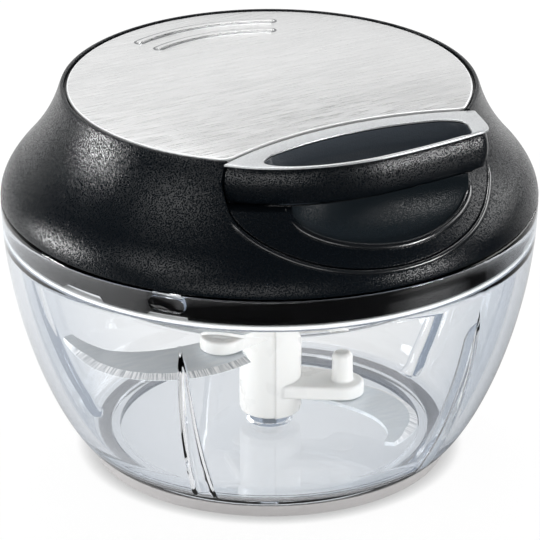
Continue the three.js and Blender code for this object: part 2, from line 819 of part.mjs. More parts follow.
// Plain bearing with a flange under the base's floor
function makeBaseBush() {
  const outer = bushInner + bushWall;
  return revolve([
    [bushInner, shaftZ],
    [outer + bushFlangeWidth, shaftZ],
    [outer + bushFlangeWidth, shaftZ + bushFlangeThickness],
    [outer, shaftZ + bushFlangeThickness],
    [outer, shaftZ + bushLength],
    [bushInner, shaftZ + bushLength],
  ], middleSteps);
}

function makeReelAxle() {
  return disc(axleRadius, axleTopZ() - axleLength, axleTopZ());
}

// Self-tapping screw, its head's upper face at the origin and its tip up
function makeScrew(length) {
  const body = revolve([
    [0, -screwHeadHeight],
    [screwCrownRadius, -screwHeadHeight],
    [screwHeadRadius, -screwHeadHeight / 2],
    [screwHeadRadius, 0],
    [screwRadius, 0],
    [screwRadius, length - screwTipLength],
    [0, length],
  ], smallSteps / 2 + 2);
  const low = -screwHeadHeight - overrun;
  const high = -screwHeadHeight + screwDriveDepth;
  const slot = box(screwDriveWidth / 2, -screwDriveReach, screwDriveReach, low, high);
  return cut(body, slot, slot.clone().rotateZ(Math.PI / 2));
}

// Corners of one side as places, with their ends set on the front and the rear arc
function cornerPlaces(corners, side, halfWidth, rearZero, front, frontPlace, rearPlace, steps) {
  const places = corners.map((corner) => corner.map(([across, forward]) => [
    side * halfWidth * across,
    -mix(rearZero, front, forward),
  ]));
  const [first, last] = [places[0][0], places[places.length - 1][3]];
  first[1] = -frontPlace(first[0]);
  last[1] = -rearPlace(last[0]);
  return places.flatMap((corner, i) => pairs(cubic(corner).getPoints(steps)).slice(i === 0 ? 0 : 1));
}

// Closed outline from both sides' corners, with the front and the rear arc between them
function outlineOf(right, left, frontPlace, rearPlace, steps) {
  const end = (corner) => corner[corner.length - 1][0];
  const front = arcPlaces(left[0][0], right[0][0], steps, (across) => -frontPlace(across));
  const rear = arcPlaces(end(right), end(left), steps, (across) => -rearPlace(across));
  return [...front.slice(1, -1), ...right, ...rear.slice(1, -1), ...[...left].reverse()];
}

// Handle seen from above
function handleOutline() {
  const front = (across) => bulgeForward(handleFront, handleFrontArcRadius, across);
  const rear = (across) => arcForward(handleRear, recessArcRadius, across);
  const sizes = [handleHalfWidth, handleSide, handleFront, front, rear, 6];
  const right = cornerPlaces(gripRightShares, 1, ...sizes);
  const left = cornerPlaces(gripLeftShares, -1, ...sizes);
  return outlineOf(right, left, front, rear, 9);
}

// Places from one side to the other on a curve given by its forward place
function arcPlaces(from, to, steps, height) {
  const places = [];
  for (let i = 0; i <= steps; i += 1) {
    const across = mix(from, to, i / steps);
    places.push([across, height(across)]);
  }
  return places;
}

// Finger slot, narrower at its lower level
function slotOutline(band, strip) {
  const [near, far] = [handleRear + band, handleFront - strip];
  const front = (across) => bulgeForward(far, handleFrontArcRadius, across);
  const rear = (across) => arcForward(near, recessArcRadius - band, across);
  const sizes = [slotHalfWidth, near, far, front, rear, 4];
  const right = cornerPlaces(slotRightShares, 1, ...sizes);
  const left = cornerPlaces(slotLeftShares, -1, ...sizes);
  return outlineOf(right, left, front, rear, 6);
}

function gripSlot() {
  const top = slotOutline(rearBand, frontStrip);
  const low = slotOutline(rearBandLow, frontStripLow);
  const bendZ = gripTopZ - handleHeight * slotSlopeShare;
  return join(
    loft(low, low, gripZ - overrun, bendZ),
    loft(low, top, bendZ - mergeReach, gripTopZ),
    loft(top, top, gripTopZ - mergeReach, gripTopZ + overrun),
  );
}

function trimPegs(radius, low, high) {
  return trimPegPlaceShares.map(([across, forward]) => disc(radius, low, high, smallSteps / 2)
    .translate(handleHalfWidth * across, -mix(handleSide, handleFront, forward), 0));
}

function makeHandleGrip() {
  const settings = {
    depth: handleHeight - 2 * handleRound,
    bevelThickness: handleRound,
    bevelSize: handleRound,
    bevelOffset: -handleRound,
    bevelSegments: 2,
  };
  const body = new THREE.ExtrudeGeometry(shapeOf(handleOutline()), settings);
  body.translate(0, 0, gripZ + handleRound);
  const pocketNear = handleRear + ferruleWall;
  const pocketFar = pocketNear + ferruleLength + 2 * seatGap;
  const pocketTopZ = cordTopZ + ferruleRadius + seatGap;
  const pocket = box(ferruleRadius + seatGap, pocketNear, pocketFar, gripZ - overrun, pocketTopZ);
  const bore = circleShape(guideBore + seatGap, cordTopZ);
  const cordHole = extrudeForward(bore, handleRear - overrun, pocketNear + seatGap);
  const pegHoles = trimPegs(trimPegRadius + seatGap, gripTopZ - trimPegLength, gripTopZ + overrun);
  return cut(body, gripSlot(), pocket, cordHole, ...pegHoles);
}

function makeHandleTrim() {
  const low = gripTopZ + seatGap;
  const body = loft(handleOutline(), handleOutline(), low, low + trimThickness);
  const opening = slotOutline(rearBand, frontStrip);
  const pegs = trimPegs(trimPegRadius, gripTopZ - trimPegLength + seatGap, low + trimThickness / 2);
  return cut(join(body, ...pegs), loft(opening, opening, low - overrun, low + trimThickness + overrun));
}

function makeCordKnot() {
  const near = handleRear + ferruleWall + seatGap;
  return extrudeForward(circleShape(ferruleRadius, cordTopZ), near, near + ferruleLength, smallSteps / 2);
}

// Angle at which the cord leaves the reel, and its bend in front of the guide
function cordLeave() {
  const bend = recessRear - wellRearWall - seatGap - guideFlangeThickness - guideStandoff;
  const angle = 1.5 * Math.PI - Math.acos(cordCoilRadius / bend);
  return { bend, angle };
}

function cordSection(sides) {
  const places = Array.from({ length: sides }, (_, i) => {
    const angle = (turn * i) / sides;
    return [cordRadius * Math.cos(angle), cordRadius * Math.sin(angle)];
  });
  return shapeOf(places);
}

function sweep(shape, path, steps) {
  return new THREE.ExtrudeGeometry(shape, { steps, extrudePath: path, bevelEnabled: false });
}

function makeCordLead() {
  const { bend, angle } = cordLeave();
  const corner = new THREE.Vector3(0, -bend, cordTopZ);
  const [leaveX, leaveY] = [cordCoilRadius * Math.cos(angle), cordCoilRadius * Math.sin(angle)];
  const leave = new THREE.Vector3(leaveX, leaveY, cordTopZ);
  const along = corner.clone().sub(leave).normalize();
  const start = leave.clone().addScaledVector(along, seatGap);
  const before = corner.clone().addScaledVector(along, -cordBendReach);
  const after = corner.clone().add(new THREE.Vector3(0, -cordBendReach, 0));
  const end = new THREE.Vector3(0, -(handleRear + ferruleWall), cordTopZ);
  const path = new THREE.CurvePath();
  path.add(new THREE.LineCurve3(start, before));
  path.add(new THREE.QuadraticBezierCurve3(before, corner, after));
  path.add(new THREE.LineCurve3(after, end));
  return sweep(cordSection(8), path, 20);
}

// Turns of the cord on the reel, from the place where it leaves at the top, downwards
class CordCoil extends THREE.Curve {
  getPoint(share, target = new THREE.Vector3()) {
    const angle = cordLeave().angle - turn * cordTurns * share;
    const level = cordTopZ - cordPitch * cordTurns * share;
    return target.set(cordCoilRadius * Math.cos(angle), cordCoilRadius * Math.sin(angle), level);
  }
}

// Turns of the spring, from the sleeve out to the cup
class SpringCoil extends THREE.Curve {
  getPoint(share, target = new THREE.Vector3()) {
    const near = sleeveRadius + slideGap + springStripThickness / 2;
    const far = springCupRadius - springCupWall - slideGap - springStripThickness / 2;
    const angle = turn * springTurns * share;
    const radius = mix(near, far, share);
    const level = cupRoofZ - slideGap - springStripWidth / 2;
    return target.set(radius * Math.cos(angle), radius * Math.sin(angle), level);
  }
}

// Least gap between a wound form's turns, measured between points more than half a turn apart
function leastGap(curve, turns, thickness) {
  const perTurn = 48;
  const points = curve.getPoints(Math.round(perTurn * turns));
  let least = Infinity;
  for (let i = 0; i < points.length; i += 1) {
    for (let j = i + perTurn / 2; j < points.length; j += 1) {
      least = Math.min(least, points[i].distanceTo(points[j]));
    }
  }
  return least - thickness;
}

function makeCordWinding() {
  const coil = new CordCoil();
  const gap = leastGap(coil, cordTurns, 2 * cordRadius);
  console.log('least gap between the cord turns, mm:', gap.toFixed(2));
  return sweep(cordSection(6), coil, Math.round(24 * cordTurns));
}

function makeRecoilSpring() {
  const coil = new SpringCoil();
  const gap = leastGap(coil, springTurns, springStripThickness);
  console.log('least gap between the spring turns, mm:', gap.toFixed(2));
  const [wide, thick] = [springStripWidth / 2, springStripThickness / 2];
  const strip = shapeOf([[-wide, -thick], [wide, -thick], [wide, thick], [-wide, thick]]);
  return sweep(strip, coil, 24 * springTurns);
}

// Spool above, spring cup below, and a shaft with the drive socket down through the bush
function makeReel() {
  const boreZ = axleTopZ() - axleLength - seatGap;
  const bore = axleRadius + bushRunningGap;
  const body = revolve([
    [0, shaftZ + socketDepth],
    [socketRadius, shaftZ + socketDepth],
    [socketRadius, shaftZ],
    [reelShaftRadius, shaftZ],
    [reelShaftRadius, cupRoofZ],
    [springCupRadius - springCupWall, cupRoofZ],
    [springCupRadius - springCupWall, cupZ],
    [springCupRadius, cupZ],
    [springCupRadius, barrelZ],
    [reelBarrelRadius, barrelZ],
    [reelBarrelRadius, barrelTopZ],
    [reelFlangeRadius, barrelTopZ],
    [reelFlangeRadius, reelTopZ],
    [bore, reelTopZ],
    [bore, boreZ],
    [0, boreZ],
  ], middleSteps);
  const near = socketRadius - socketDogReach;
  const far = (socketRadius + reelShaftRadius) / 2;
  const dog = box(socketDogWidth / 2, near, far, shaftZ, shaftZ + socketDepth + slideGap);
  return join(body, dog, dog.clone().rotateZ(Math.PI));
}

// Washer that closes the spring cup from below
function makeSpringCover() {
  const outer = springCupRadius - springCupWall - seatGap;
  return ring(sleeveRadius + slideGap, outer, cupZ, cupZ + springCoverThickness);
}

// Tongue from the hub, with its rivet, seen along +X from the hub's axis, its lower face at the origin
function hubArm() {
  const shape = new THREE.Shape();
  const lean = Math.asin((armRootWidth / 2 - armEndRadius) / rivetCircle);
  shape.moveTo(0, armRootWidth / 2);
  shape.lineTo(0, -armRootWidth / 2);
  shape.absarc(rivetCircle, 0, armEndRadius, -Math.PI / 2 + lean, Math.PI / 2 - lean, false);
  const tongue = extrudeUp(shape, 0, armThickness, smallSteps / 2);
  const bossTopZ = armThickness + armBossHeight;
  const boss = revolve([
    [0, armThickness / 2],
    [armBossRadius, armThickness / 2],
    [armBossRadius, bossTopZ - armBossRound],
    [armBossRadius - armBossRound, bossTopZ],
    [0, bossTopZ],
  ], smallSteps).translate(rivetCircle, 0, 0);
  const headZ = -bladeThickness - 2 * seatGap;
  const rivet = disc(rivetRadius, headZ - rivetHeadHeight / 2, armThickness / 2);
  const head = disc(rivetHeadRadius, headZ - rivetHeadHeight, headZ);
  return join(tongue, boss, rivet.translate(rivetCircle, 0, 0), head.translate(rivetCircle, 0, 0));
}

function makeBladeHub() {
  const bushRadius = pinHoleRadius + hubBushWall + seatGap;
  const column = revolve([
    [pinHoleRadius + seatGap, pinTopZ + slideGap],
    [pinHoleRadius + seatGap, hubZ + hubBushLength + seatGap],
    [bushRadius, hubZ + hubBushLength + seatGap],
    [bushRadius, hubZ],
    [hubRadius - hubEdge, hubZ],
    [hubRadius, hubZ + hubEdge],
    [hubRadius, hubTopZ - hubEdge],
    [hubRadius - hubEdge, hubTopZ],
    [0, hubTopZ],
    [0, pinTopZ + slideGap],
  ], middleSteps);
  const tangShape = stadium(tangWidth, tangThickness, 0);
  const tang = extrudeUp(tangShape, hubTopZ - hubEdge, hubTopZ + tangLength, smallSteps / 4);
  const arms = bladeLevels.map((level, i) => {
    const angle = bladeFirstAngle + bladeStep * i + armLead;
    const arm = geometryOf(hubArm()).rotateZ(angle).translate(0, 0, level + bladeThickness + seatGap);
    return cut(asSolid(indexed(arm)), disc(hubRadius / 2, 0, lidTopZ));
  });
  return join(column, tang, ...arms);
}

// Loose triangles with an index again
function indexed(geometry) {
  geometry.deleteAttribute('normal');
  return mergeVertices(geometry, mergeReach);
}

function makeHubBush() {
  return ring(pinHoleRadius, pinHoleRadius + hubBushWall, hubZ, hubZ + hubBushLength, smallSteps);
}

// From the axis to a blade's tip, short of the bowl's ribs at its level
function bladeReach(level) {
  return radiusAt(inset(bellyCurve(bellySteps), bowlWall), level) - ribDepth - bladeRibGap;
}

// The same solid with everything past a leaning line bent up
function bentUp(solid, reach) {
  const across = [Math.cos(bladeBendLean), Math.sin(bladeBendLean)];
  const line = bladeBendShare * reach;
  const [outer, inner] = solid.splitByPlane([...across, 0], line);
  const raised = outer.warp((place) => {
    place[2] += Math.tan(bladeBend) * (place[0] * across[0] + place[1] * across[1] - line);
  });
  const parts = inner.add(raised).decompose();
  return parts.sort((a, b) => b.volume() - a.volume())[0];
}

// Swept blade with its tip on +X, a ground bevel on its upper side and a hole for the rivet
function makeBlade(reach) {
  const place = ([along, across]) => [reach * along, reach * across];
  const edge = cubic(bladeEdgeShares.map(place)).getPoints(bladeEdgeSteps);
  const ground = inset(edge, -bladeBevel);
  ground[bladeEdgeSteps].copy(edge[bladeEdgeSteps]);
  const back = [bladeTipShares, ...bladeBackShares].map(place);
  const backPoints = pairs(cubic(back).getPoints(bladeEdgeSteps / 2));
  const lower = [...pairs(edge), ...backPoints];
  const upper = [...pairs(ground), ...backPoints];
  const body = loft(lower, upper, 0, bladeThickness);
  const rivetHole = disc(rivetRadius + seatGap, -overrun, bladeThickness + overrun, smallSteps)
    .translate(rivetCircle * Math.cos(armLead), rivetCircle * Math.sin(armLead), 0);
  const hubHole = disc(hubRadius + seatGap, -overrun, bladeThickness + overrun, middleSteps);
  return bentUp(cut(body, rivetHole, hubHole), reach);
}

function piece(group, name, shape, material) {
  const mesh = new THREE.Mesh(geometryOf(shape), material);
  mesh.name = name;
  group.add(mesh);
  return mesh;
}

function bowlGroup() {
  const group = new THREE.Group();
  piece(group, 'bowl', makeBowl(), materials.clear);
  piece(group, 'foot_ring', makeFootRing(), materials.ring);
  piece(group, 'pivot_pin', makePivotPin(), materials.steel);
  piece(group, 'lid_seal', makeSeal(), materials.seal);
  return group;
}

function screwsGroup() {
  const group = new THREE.Group();
  group.position.z = baseFloorZ - seatGap;
  baseScrewAngles.forEach((angle, i) => {
    const screw = piece(group, `base_screw_${i + 1}`, makeScrew(baseScrewLength), materials.steel);
    screw.position.set(baseScrewCircle * Math.cos(angle), baseScrewCircle * Math.sin(angle), 0);
    screw.rotation.z = angle;
  });
  [-1, 1].forEach((side, i) => {
    const screw = piece(group, `well_screw_${i + 1}`, makeScrew(wellScrewLength), materials.steel);
    screw.position.set(side * wellScrewAcross, -wellScrewForward, 0);
  });
  return group;
}

function lidGroup() {
  const group = new THREE.Group();
  piece(group, 'lid_cover', makeLidCover(), materials.black);
  piece(group, 'top_plate', makeTopPlate(), materials.brushed);
  piece(group, 'handle_well', makeHandleWell(), materials.black);
  piece(group, 'lid_base', makeLidBase(), materials.black);
  piece(group, 'base_bush', makeBaseBush(), materials.natural);
  piece(group, 'reel_axle', makeReelAxle(), materials.steel);
  piece(group, 'cord_guide', makeCordGuide(), materials.steel);
  group.add(screwsGroup());
  return group;
}

function handleGroup() {
  const group = new THREE.Group();
  piece(group, 'handle_grip', makeHandleGrip(), materials.black);
  piece(group, 'handle_trim', makeHandleTrim(), materials.silver);
  piece(group, 'cord_knot', makeCordKnot(), materials.steel);
  piece(group, 'cord_lead', makeCordLead(), materials.cord);
  return group;
}

function reelGroup() {
  const group = new THREE.Group();
  piece(group, 'reel', makeReel(), materials.natural);
  piece(group, 'cord_winding', makeCordWinding(), materials.cord);
  piece(group, 'recoil_spring', makeRecoilSpring(), materials.steel);
  piece(group, 'spring_cover', makeSpringCover(), materials.natural);
  return group;
}

function bladeGroup() {
  const group = new THREE.Group();
  piece(group, 'blade_hub', makeBladeHub(), materials.white);
  piece(group, 'hub_bush', makeHubBush(), materials.brass);
  bladeNames.forEach((name, i) => {
    const blade = piece(group, name, makeBlade(bladeReach(bladeLevels[i])), materials.blade);
    blade.position.z = bladeLevels[i];
    blade.rotation.z = bladeFirstAngle + bladeStep * i;
  });
  return group;
}

const group = new THREE.Group();
group.add(bowlGroup(), lidGroup(), handleGroup(), reelGroup(), bladeGroup());

export default group;
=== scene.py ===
# Dresses the pull-cord food chopper: clear bowl, black lid with a pull handle, white hub with three blades.
# Sizes are in millimetres and become metres where a mesh is made. +Z is up, and the handle pulls towards -Y.
import math
from contextlib import contextmanager

import bmesh
import bpy
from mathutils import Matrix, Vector


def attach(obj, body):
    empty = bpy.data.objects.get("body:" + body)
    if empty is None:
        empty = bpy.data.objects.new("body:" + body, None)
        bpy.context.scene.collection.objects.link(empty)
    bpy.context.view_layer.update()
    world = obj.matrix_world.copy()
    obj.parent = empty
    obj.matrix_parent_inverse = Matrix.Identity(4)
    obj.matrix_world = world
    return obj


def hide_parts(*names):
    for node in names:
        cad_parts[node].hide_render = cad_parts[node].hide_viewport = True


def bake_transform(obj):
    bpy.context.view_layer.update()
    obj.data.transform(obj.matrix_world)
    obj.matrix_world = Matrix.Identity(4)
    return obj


mm = 0.001
fullTurn = 2 * math.pi
roundAngles = (0.0, 0.4, 0.8, 1.2, 1.57)  # steps over the quarter turn of a rounded edge
coarseAngles = (0.0, 0.5, 1.0, 1.57)

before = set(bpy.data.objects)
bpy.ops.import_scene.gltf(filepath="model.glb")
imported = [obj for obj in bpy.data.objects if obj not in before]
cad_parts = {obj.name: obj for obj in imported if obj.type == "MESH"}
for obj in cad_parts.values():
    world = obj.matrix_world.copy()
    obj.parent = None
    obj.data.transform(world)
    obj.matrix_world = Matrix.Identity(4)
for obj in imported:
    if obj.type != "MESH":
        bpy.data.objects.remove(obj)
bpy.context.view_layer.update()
print("frame loaded:", len(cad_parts), "nodes")


def linearColour(hexText):
    values = [int(hexText[i:i + 2], 16) / 255 for i in (1, 3, 5)]
    return [v / 12.92 if v <= 0.04045 else ((v + 0.055) / 1.055) ** 2.4 for v in values] + [1]


def setInputs(tree, node, inputs):
    # inputs by name or in their order: plain values, sockets, or nodes, which give their first output in use
    for name, value in inputs.items() if isinstance(inputs, dict) else enumerate(inputs):
        if isinstance(value, bpy.types.Node):
            value = next(socket for socket in value.outputs if socket.enabled)
        if isinstance(value, bpy.types.NodeSocket):
            tree.links.new(value, node.inputs[name])
        else:
            node.inputs[name].default_value = value
    return node


def addNode(tree, kind, inputs=(), **settings):
    node = tree.nodes.new(kind)
    for name, value in settings.items():
        setattr(node, name, value)
    return setInputs(tree, node, inputs)


def newObject(name, data):
    made = bpy.data.objects.new(name, data)
    bpy.context.scene.collection.objects.link(made)
    return made


@contextmanager
def edited(mesh):
    work = bmesh.new()
    work.from_mesh(mesh)
    yield work
    work.to_mesh(mesh)
    work.free()


def mix(low, high, share):
    return low + (high - low) * share


def direction(azimuth, elevation):
    # azimuth in degrees from the front, towards +X
    azimuth, elevation = math.radians(azimuth), math.radians(elevation)
    flat = math.cos(elevation)
    return Vector((math.sin(azimuth) * flat, -math.cos(azimuth) * flat, math.sin(elevation)))


def standAt(made, back, distance, aim):
    # a camera or a lamp, at a distance from what it looks at
    made.location = aim + back * distance
    made.rotation_mode = "QUATERNION"
    made.rotation_quaternion = (-back).to_track_quat("-Z", "Y")


def bezier(places, steps):
    # cubic curve through its first and last place
    a, b, c, d = [Vector(place) for place in places]
    points = []
    for i in range(steps + 1):
        t = i / steps
        s = 1 - t
        points.append(a * s ** 3 + b * (3 * s * s * t) + c * (3 * s * t * t) + d * t ** 3)
    return points


def quarterRound(radius, angles=roundAngles):
    # a rounded edge: how far each step stands back from the side, and down from the end
    return [(radius * (1 - math.cos(a)), radius * (1 - math.sin(a))) for a in angles]


def shifted(points, distance, closed=False):
    # points of a flat curve moved to its left
    moved = []
    last = len(points) - 1
    for i, point in enumerate(points):
        before = points[i - 1] if closed or i else point
        after = points[(i + 1) % len(points)] if closed else points[min(i + 1, last)]
        along = (Vector(after) - Vector(before)).normalized()
        moved.append(Vector((point[0] - along.y * distance, point[1] + along.x * distance)))
    return moved


def markEdges(mesh, angle):
    # shades faces smooth and keeps the edges that turn by more than the angle
    limit = math.radians(angle)
    with edited(mesh) as work:
        for face in work.faces:
            face.smooth = True
        for edge in work.edges:
            edge.smooth = len(edge.link_faces) == 2 and edge.calc_face_angle(0) < limit


def meshPiece(name, points, faces, sharpAngle=32):
    mesh = bpy.data.meshes.new(name)
    mesh.from_pydata([[value * mm for value in point] for point in points], [], faces)
    with edited(mesh) as work:
        bmesh.ops.remove_doubles(work, verts=work.verts, dist=0.00001 * mm)
        bmesh.ops.recalc_face_normals(work, faces=work.faces)
    markEdges(mesh, sharpAngle)
    return newObject(name, mesh)


def bakeModifiers(piece):
    # the evaluated mesh takes the place of the piece's own, and its modifiers go
    bpy.context.view_layer.update()
    graph = bpy.context.evaluated_depsgraph_get()
    mesh = bpy.data.meshes.new_from_object(piece.evaluated_get(graph))
    piece.modifiers.clear()
    piece.data = mesh
    mesh.name = piece.name


def carve(piece, cutter, operation="DIFFERENCE", sharpAngle=32):
    modifier = piece.modifiers.new("carve", "BOOLEAN")
    modifier.operation = operation
    modifier.solver = "EXACT"
    modifier.object = cutter
    bakeModifiers(piece)
    bpy.data.objects.remove(cutter)
    markEdges(piece.data, sharpAngle)
    return piece


def joined(name, pieces):
    mesh = bpy.data.meshes.new(name)
    with edited(mesh) as work:
        for piece in pieces:
            work.from_mesh(piece.data)
            bpy.data.objects.remove(piece)
    return newObject(name, mesh)


def revolved(profile, steps, closed=True):
    # an outline of (radius, level) turned about Z
    points, rings = [], []
    for radius, level in profile:
        start = len(points)
        if radius < 0.0001:
            points.append((0, 0, level))
            rings.append([start] * steps)
            continue
        for i in range(steps):
            angle = fullTurn * i / steps
            points.append((radius * math.cos(angle), radius * math.sin(angle), level))
        rings.append(list(range(start, start + steps)))
    faces = []
    following = rings[1:] + ([rings[0]] if closed else [])
    for low, high in zip(rings, following):
        for i in range(steps):
            j = (i + 1) % steps
            face = list(dict.fromkeys((low[i], low[j], high[j], high[i])))
            if len(face) > 2:
                faces.append(face)
    return points, faces


def loopFaces(loops, closed):
    # faces between each of several loops and the next
    count, faces = len(loops[0]), []
    for k in range(len(loops) if closed else len(loops) - 1):
        following = (k + 1) % len(loops)
        for i in range(count):
            j = (i + 1) % count
            faces.append((k * count + i, k * count + j, following * count + j, following * count + i))
    return faces


def loopStack(loops):
    # loops with the same number of points, and flat caps on the first and the last
    points = [point for loop in loops for point in loop]
    count = len(loops[0])
    caps = [list(range(count))[::-1], [len(points) - count + i for i in range(count)]]
    return points, caps + loopFaces(loops, False)


def prismUp(outline, low, high):
    return loopStack([[(x, y, z) for x, y in outline] for z in (low, high)])


def prismForward(outline, near, far):
    return loopStack([[(x, -y, z) for x, z in outline] for y in (near, far)])


def turned(points, angle):
    c, s = math.cos(angle), math.sin(angle)
    return [(x * c - y * s, x * s + y * c, z) for x, y, z in points]


def arcPoints(centre, radius, start, end, steps):
    angles = [mix(start, end, i / steps) for i in range(steps + 1)]
    return [(centre[0] + radius * math.cos(a), centre[1] + radius * math.sin(a)) for a in angles]


def circlePoints(centre, radius, steps):
    return arcPoints(centre, radius, 0, fullTurn, steps)[:-1]


def distances(points):
    # how far along an open line each of its points lies
    lengths = [0]
    for a, b in zip(points, points[1:]):
        lengths.append(lengths[-1] + (b - a).length)
    return lengths


def resampled(loop, count):
    # evenly spaced points on a closed loop, from its first point on
    ends = [Vector(p) for p in loop] + [Vector(loop[0])]
    lengths = distances(ends)
    points, k = [], 0
    for i in range(count):
        target = lengths[-1] * i / count
        while lengths[k + 1] < target:
            k += 1
        span = lengths[k + 1] - lengths[k]
        points.append(ends[k].lerp(ends[k + 1], (target - lengths[k]) / span if span else 0))
    return points


def addFinishes(piece, *names):
    for name in names:
        piece.data.materials.append(finish[name])


def dress(piece, body, finishName, slot, *nodes):
    # the last step of each piece: finish, body, and the CAD nodes that it stands for
    if finishName:
        piece.data.materials.clear()
        addFinishes(piece, finishName)
    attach(piece, body)
    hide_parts(*nodes)
    return piece


# the camera that took the photograph
cameraValues = {
    "azimuth": -29.5,
    "elevation": 23.9,
    "distance": 1200,
    "aimLevel": 46.3,
    "pixelsPerMillimetre": 4.03,
    "frameWidth": 540,
    "aimPixel": 269.5,
    "sensorWidth": 36,
}


def makeCamera(values):
    camera = newObject("camera", bpy.data.cameras.new("camera"))
    back = direction(values["azimuth"], values["elevation"])
    standAt(camera, back, values["distance"] * mm, Vector((0, 0, values["aimLevel"] * mm)))
    camera.data.sensor_width = values["sensorWidth"]
    share = values["pixelsPerMillimetre"] * values["distance"] / values["frameWidth"]
    camera.data.lens = share * values["sensorWidth"]
    camera.data.shift_x = (values["frameWidth"] / 2 - values["aimPixel"]) / values["frameWidth"]
    camera.data.clip_start = 0.05
    bpy.context.scene.camera = camera


makeCamera(cameraValues)
print("camera placed")


def newMaterial(name, colour, inputs):
    material = bpy.data.materials.new(name)
    material.use_nodes = True
    tree = material.node_tree
    shader = setInputs(tree, tree.nodes["Principled BSDF"], {"Base Color": linearColour(colour), **inputs})
    return material, tree, shader


def place(tree, stretch=(1, 1, 1)):
    # object coordinates, on which a pattern is drawn out along the axes with less than one
    coordinates = addNode(tree, "ShaderNodeTexCoord")
    return addNode(tree, "ShaderNodeMapping", {"Vector": coordinates.outputs["Object"], "Scale": stretch})


def relief(tree, shader, height, depth, strength=1.0, edge=0.0):
    # bump of a real depth in millimetres, over edges that are rounded by the edge radius
    inputs = {"Height": height, "Distance": depth * mm, "Strength": strength}
    if edge:
        inputs["Normal"] = addNode(tree, "ShaderNodeBevel", {"Radius": edge * mm}, samples=6)
    setInputs(tree, shader, {"Normal": addNode(tree, "ShaderNodeBump", inputs)})


turnedValues = {"stretch": (0.15, 0.15, 1), "sockets": {"Metallic": 1.0}, "relief": (0.01, 0.5, 0.15)}

# Finishes that one pattern of noise gives. Its size, the relief's depth and the edge radius are millimetres.
# The noise runs from 0.3 to 0.7, and "tones" and "rough" are what these two ends give.
patternValues = {
    # the lid's ABS out of a polished mould, where the skirt slides: near mirror gloss with faint flow marks
    "skirt": {
        "name": "polishedBlackAbs",
        "colour": "#060607",
        "sockets": {"IOR": 1.53, "Specular IOR Level": 0.3},
        "size": 9,
        "stretch": (1, 1, 4),
        "rough": (0.08, 0.16),
        "relief": (0.02, 0.5, 0.25),
    },
    # the plate's folded rim: rougher, and a paler, partly diffuse copy of the steel, which paints a
    # highlight along the fold
    "paintedRimHighlight": {
        "name": "rimHighlightStainless",
        "colour": "#f2f3f3",
        "sockets": {"Metallic": 0.7},
        "size": 0.5,
        "rough": (0.38, 0.52),
        "relief": (0.01, 0.4),
    },
    # ABS sprayed with aluminium lacquer: even satin silver with fine flake
    "silver": {
        "name": "silverLacquer",
        "colour": "#c6c8ca",
        "sockets": {"Metallic": 0.75, "Roughness": 0.34},
        "size": 0.35,
        "detail": 2.0,
        "contrast": 0.7,
        "tones": ("#b7b9bb", "#d4d6d7"),
        "relief": (0.01, 0.5, 0.2),
    },
    # hardened stainless blade stock with a satin finish and a faint grinding haze; a near-white, mostly
    # diffuse colour, paler than the steel, paints the light that the blades reflect
    "blade": {
        "name": "satinBladeSteel",
        "colour": "#d0d7dd",
        "sockets": {"Metallic": 0.25},
        "size": 1.2,
        "stretch": (0.2, 1, 1),
        "tones": ("#e4ebf1", "#f4f8fb"),
        "rough": (0.44, 0.56),
        "relief": (0.01, 0.4),
    },
    # moulded white acetal: dense, slightly waxy and glossy, light sinks in at thin edges
    "white": {
        "name": "whiteAcetal",
        "colour": "#f3f3f1",
        "sockets": {"IOR": 1.48, "Subsurface Weight": 0.25},
        "lightReach": (1.6, 1.5, 1.4),
        "size": 6,
        "detail": 2.0,
        "rough": (0.24, 0.36),
        "relief": (0.03, 0.4, 0.5),
    },
    # translucent thermoplastic elastomer, moulded, with a dull skin; a mid grey, darker than the ring's
    # milky white, paints the shade where it sits under the bowl
    "foot": {
        "name": "shadedFootElastomer",
        "colour": "#aaa8a8",
        "sockets": {"IOR": 1.43, "Subsurface Weight": 0.5},
        "lightReach": (1, 1, 1),
        "size": 0.8,
        "rough": (0.42, 0.6),
        "relief": (0.02, 0.5, 0.3),
    },
    # translucent silicone: milkier, and light goes deeper
    "seal": {
        "name": "sealSilicone",
        "colour": "#e6e8e8",
        "sockets": {"IOR": 1.43, "Subsurface Weight": 0.5},
        "lightReach": (1.5, 1.5, 1.5),
        "size": 0.8,
        "rough": (0.42, 0.6),
        "relief": (0.02, 0.5, 0.3),
    },
    # drawn or turned bars: fine rings round the part, bright where it is worn
    "steel": {
        "name": "drawnSteel",
        "colour": "#b4b7b9",
        "tones": ("#8e9194", "#b4b7b9"),
        "size": 0.3,
        "rough": (0.26, 0.42),
        **turnedValues,
    },
    "spring": {
        "name": "springSteel",
        "colour": "#9ba1a6",
        "tones": ("#6d7276", "#9ba1a6"),
        "size": 0.5,
        "rough": (0.22, 0.38),
        **turnedValues,
    },
    "brass": {
        "name": "turnedBrass",
        "colour": "#cfae66",
        "tones": ("#a6813c", "#cfae66"),
        "size": 0.3,
        "rough": (0.24, 0.4),
        **turnedValues,
    },
    # natural nylon 6: off-white and slightly see-through at the edges, with a satin skin
    "nylon": {
        "name": "naturalNylon",
        "colour": "#ded9cb",
        "sockets": {"IOR": 1.53},
        "size": 1.5,
        "tones": ("#d3cdbd", "#e4e0d4"),
        "rough": (0.38, 0.55),
        "relief": (0.02, 0.4, 0.3),
    },
}


def paint(tree, shader, pattern, tones, low=0.3, high=0.7):
    share = addNode(tree, "ShaderNodeMapRange", (pattern, low, high, 0, 1))
    dark, light = [linearColour(tone) for tone in tones]
    tone = addNode(tree, "ShaderNodeMix", {0: share, 6: dark, 7: light}, data_type="RGBA")
    setInputs(tree, shader, {"Base Color": tone})


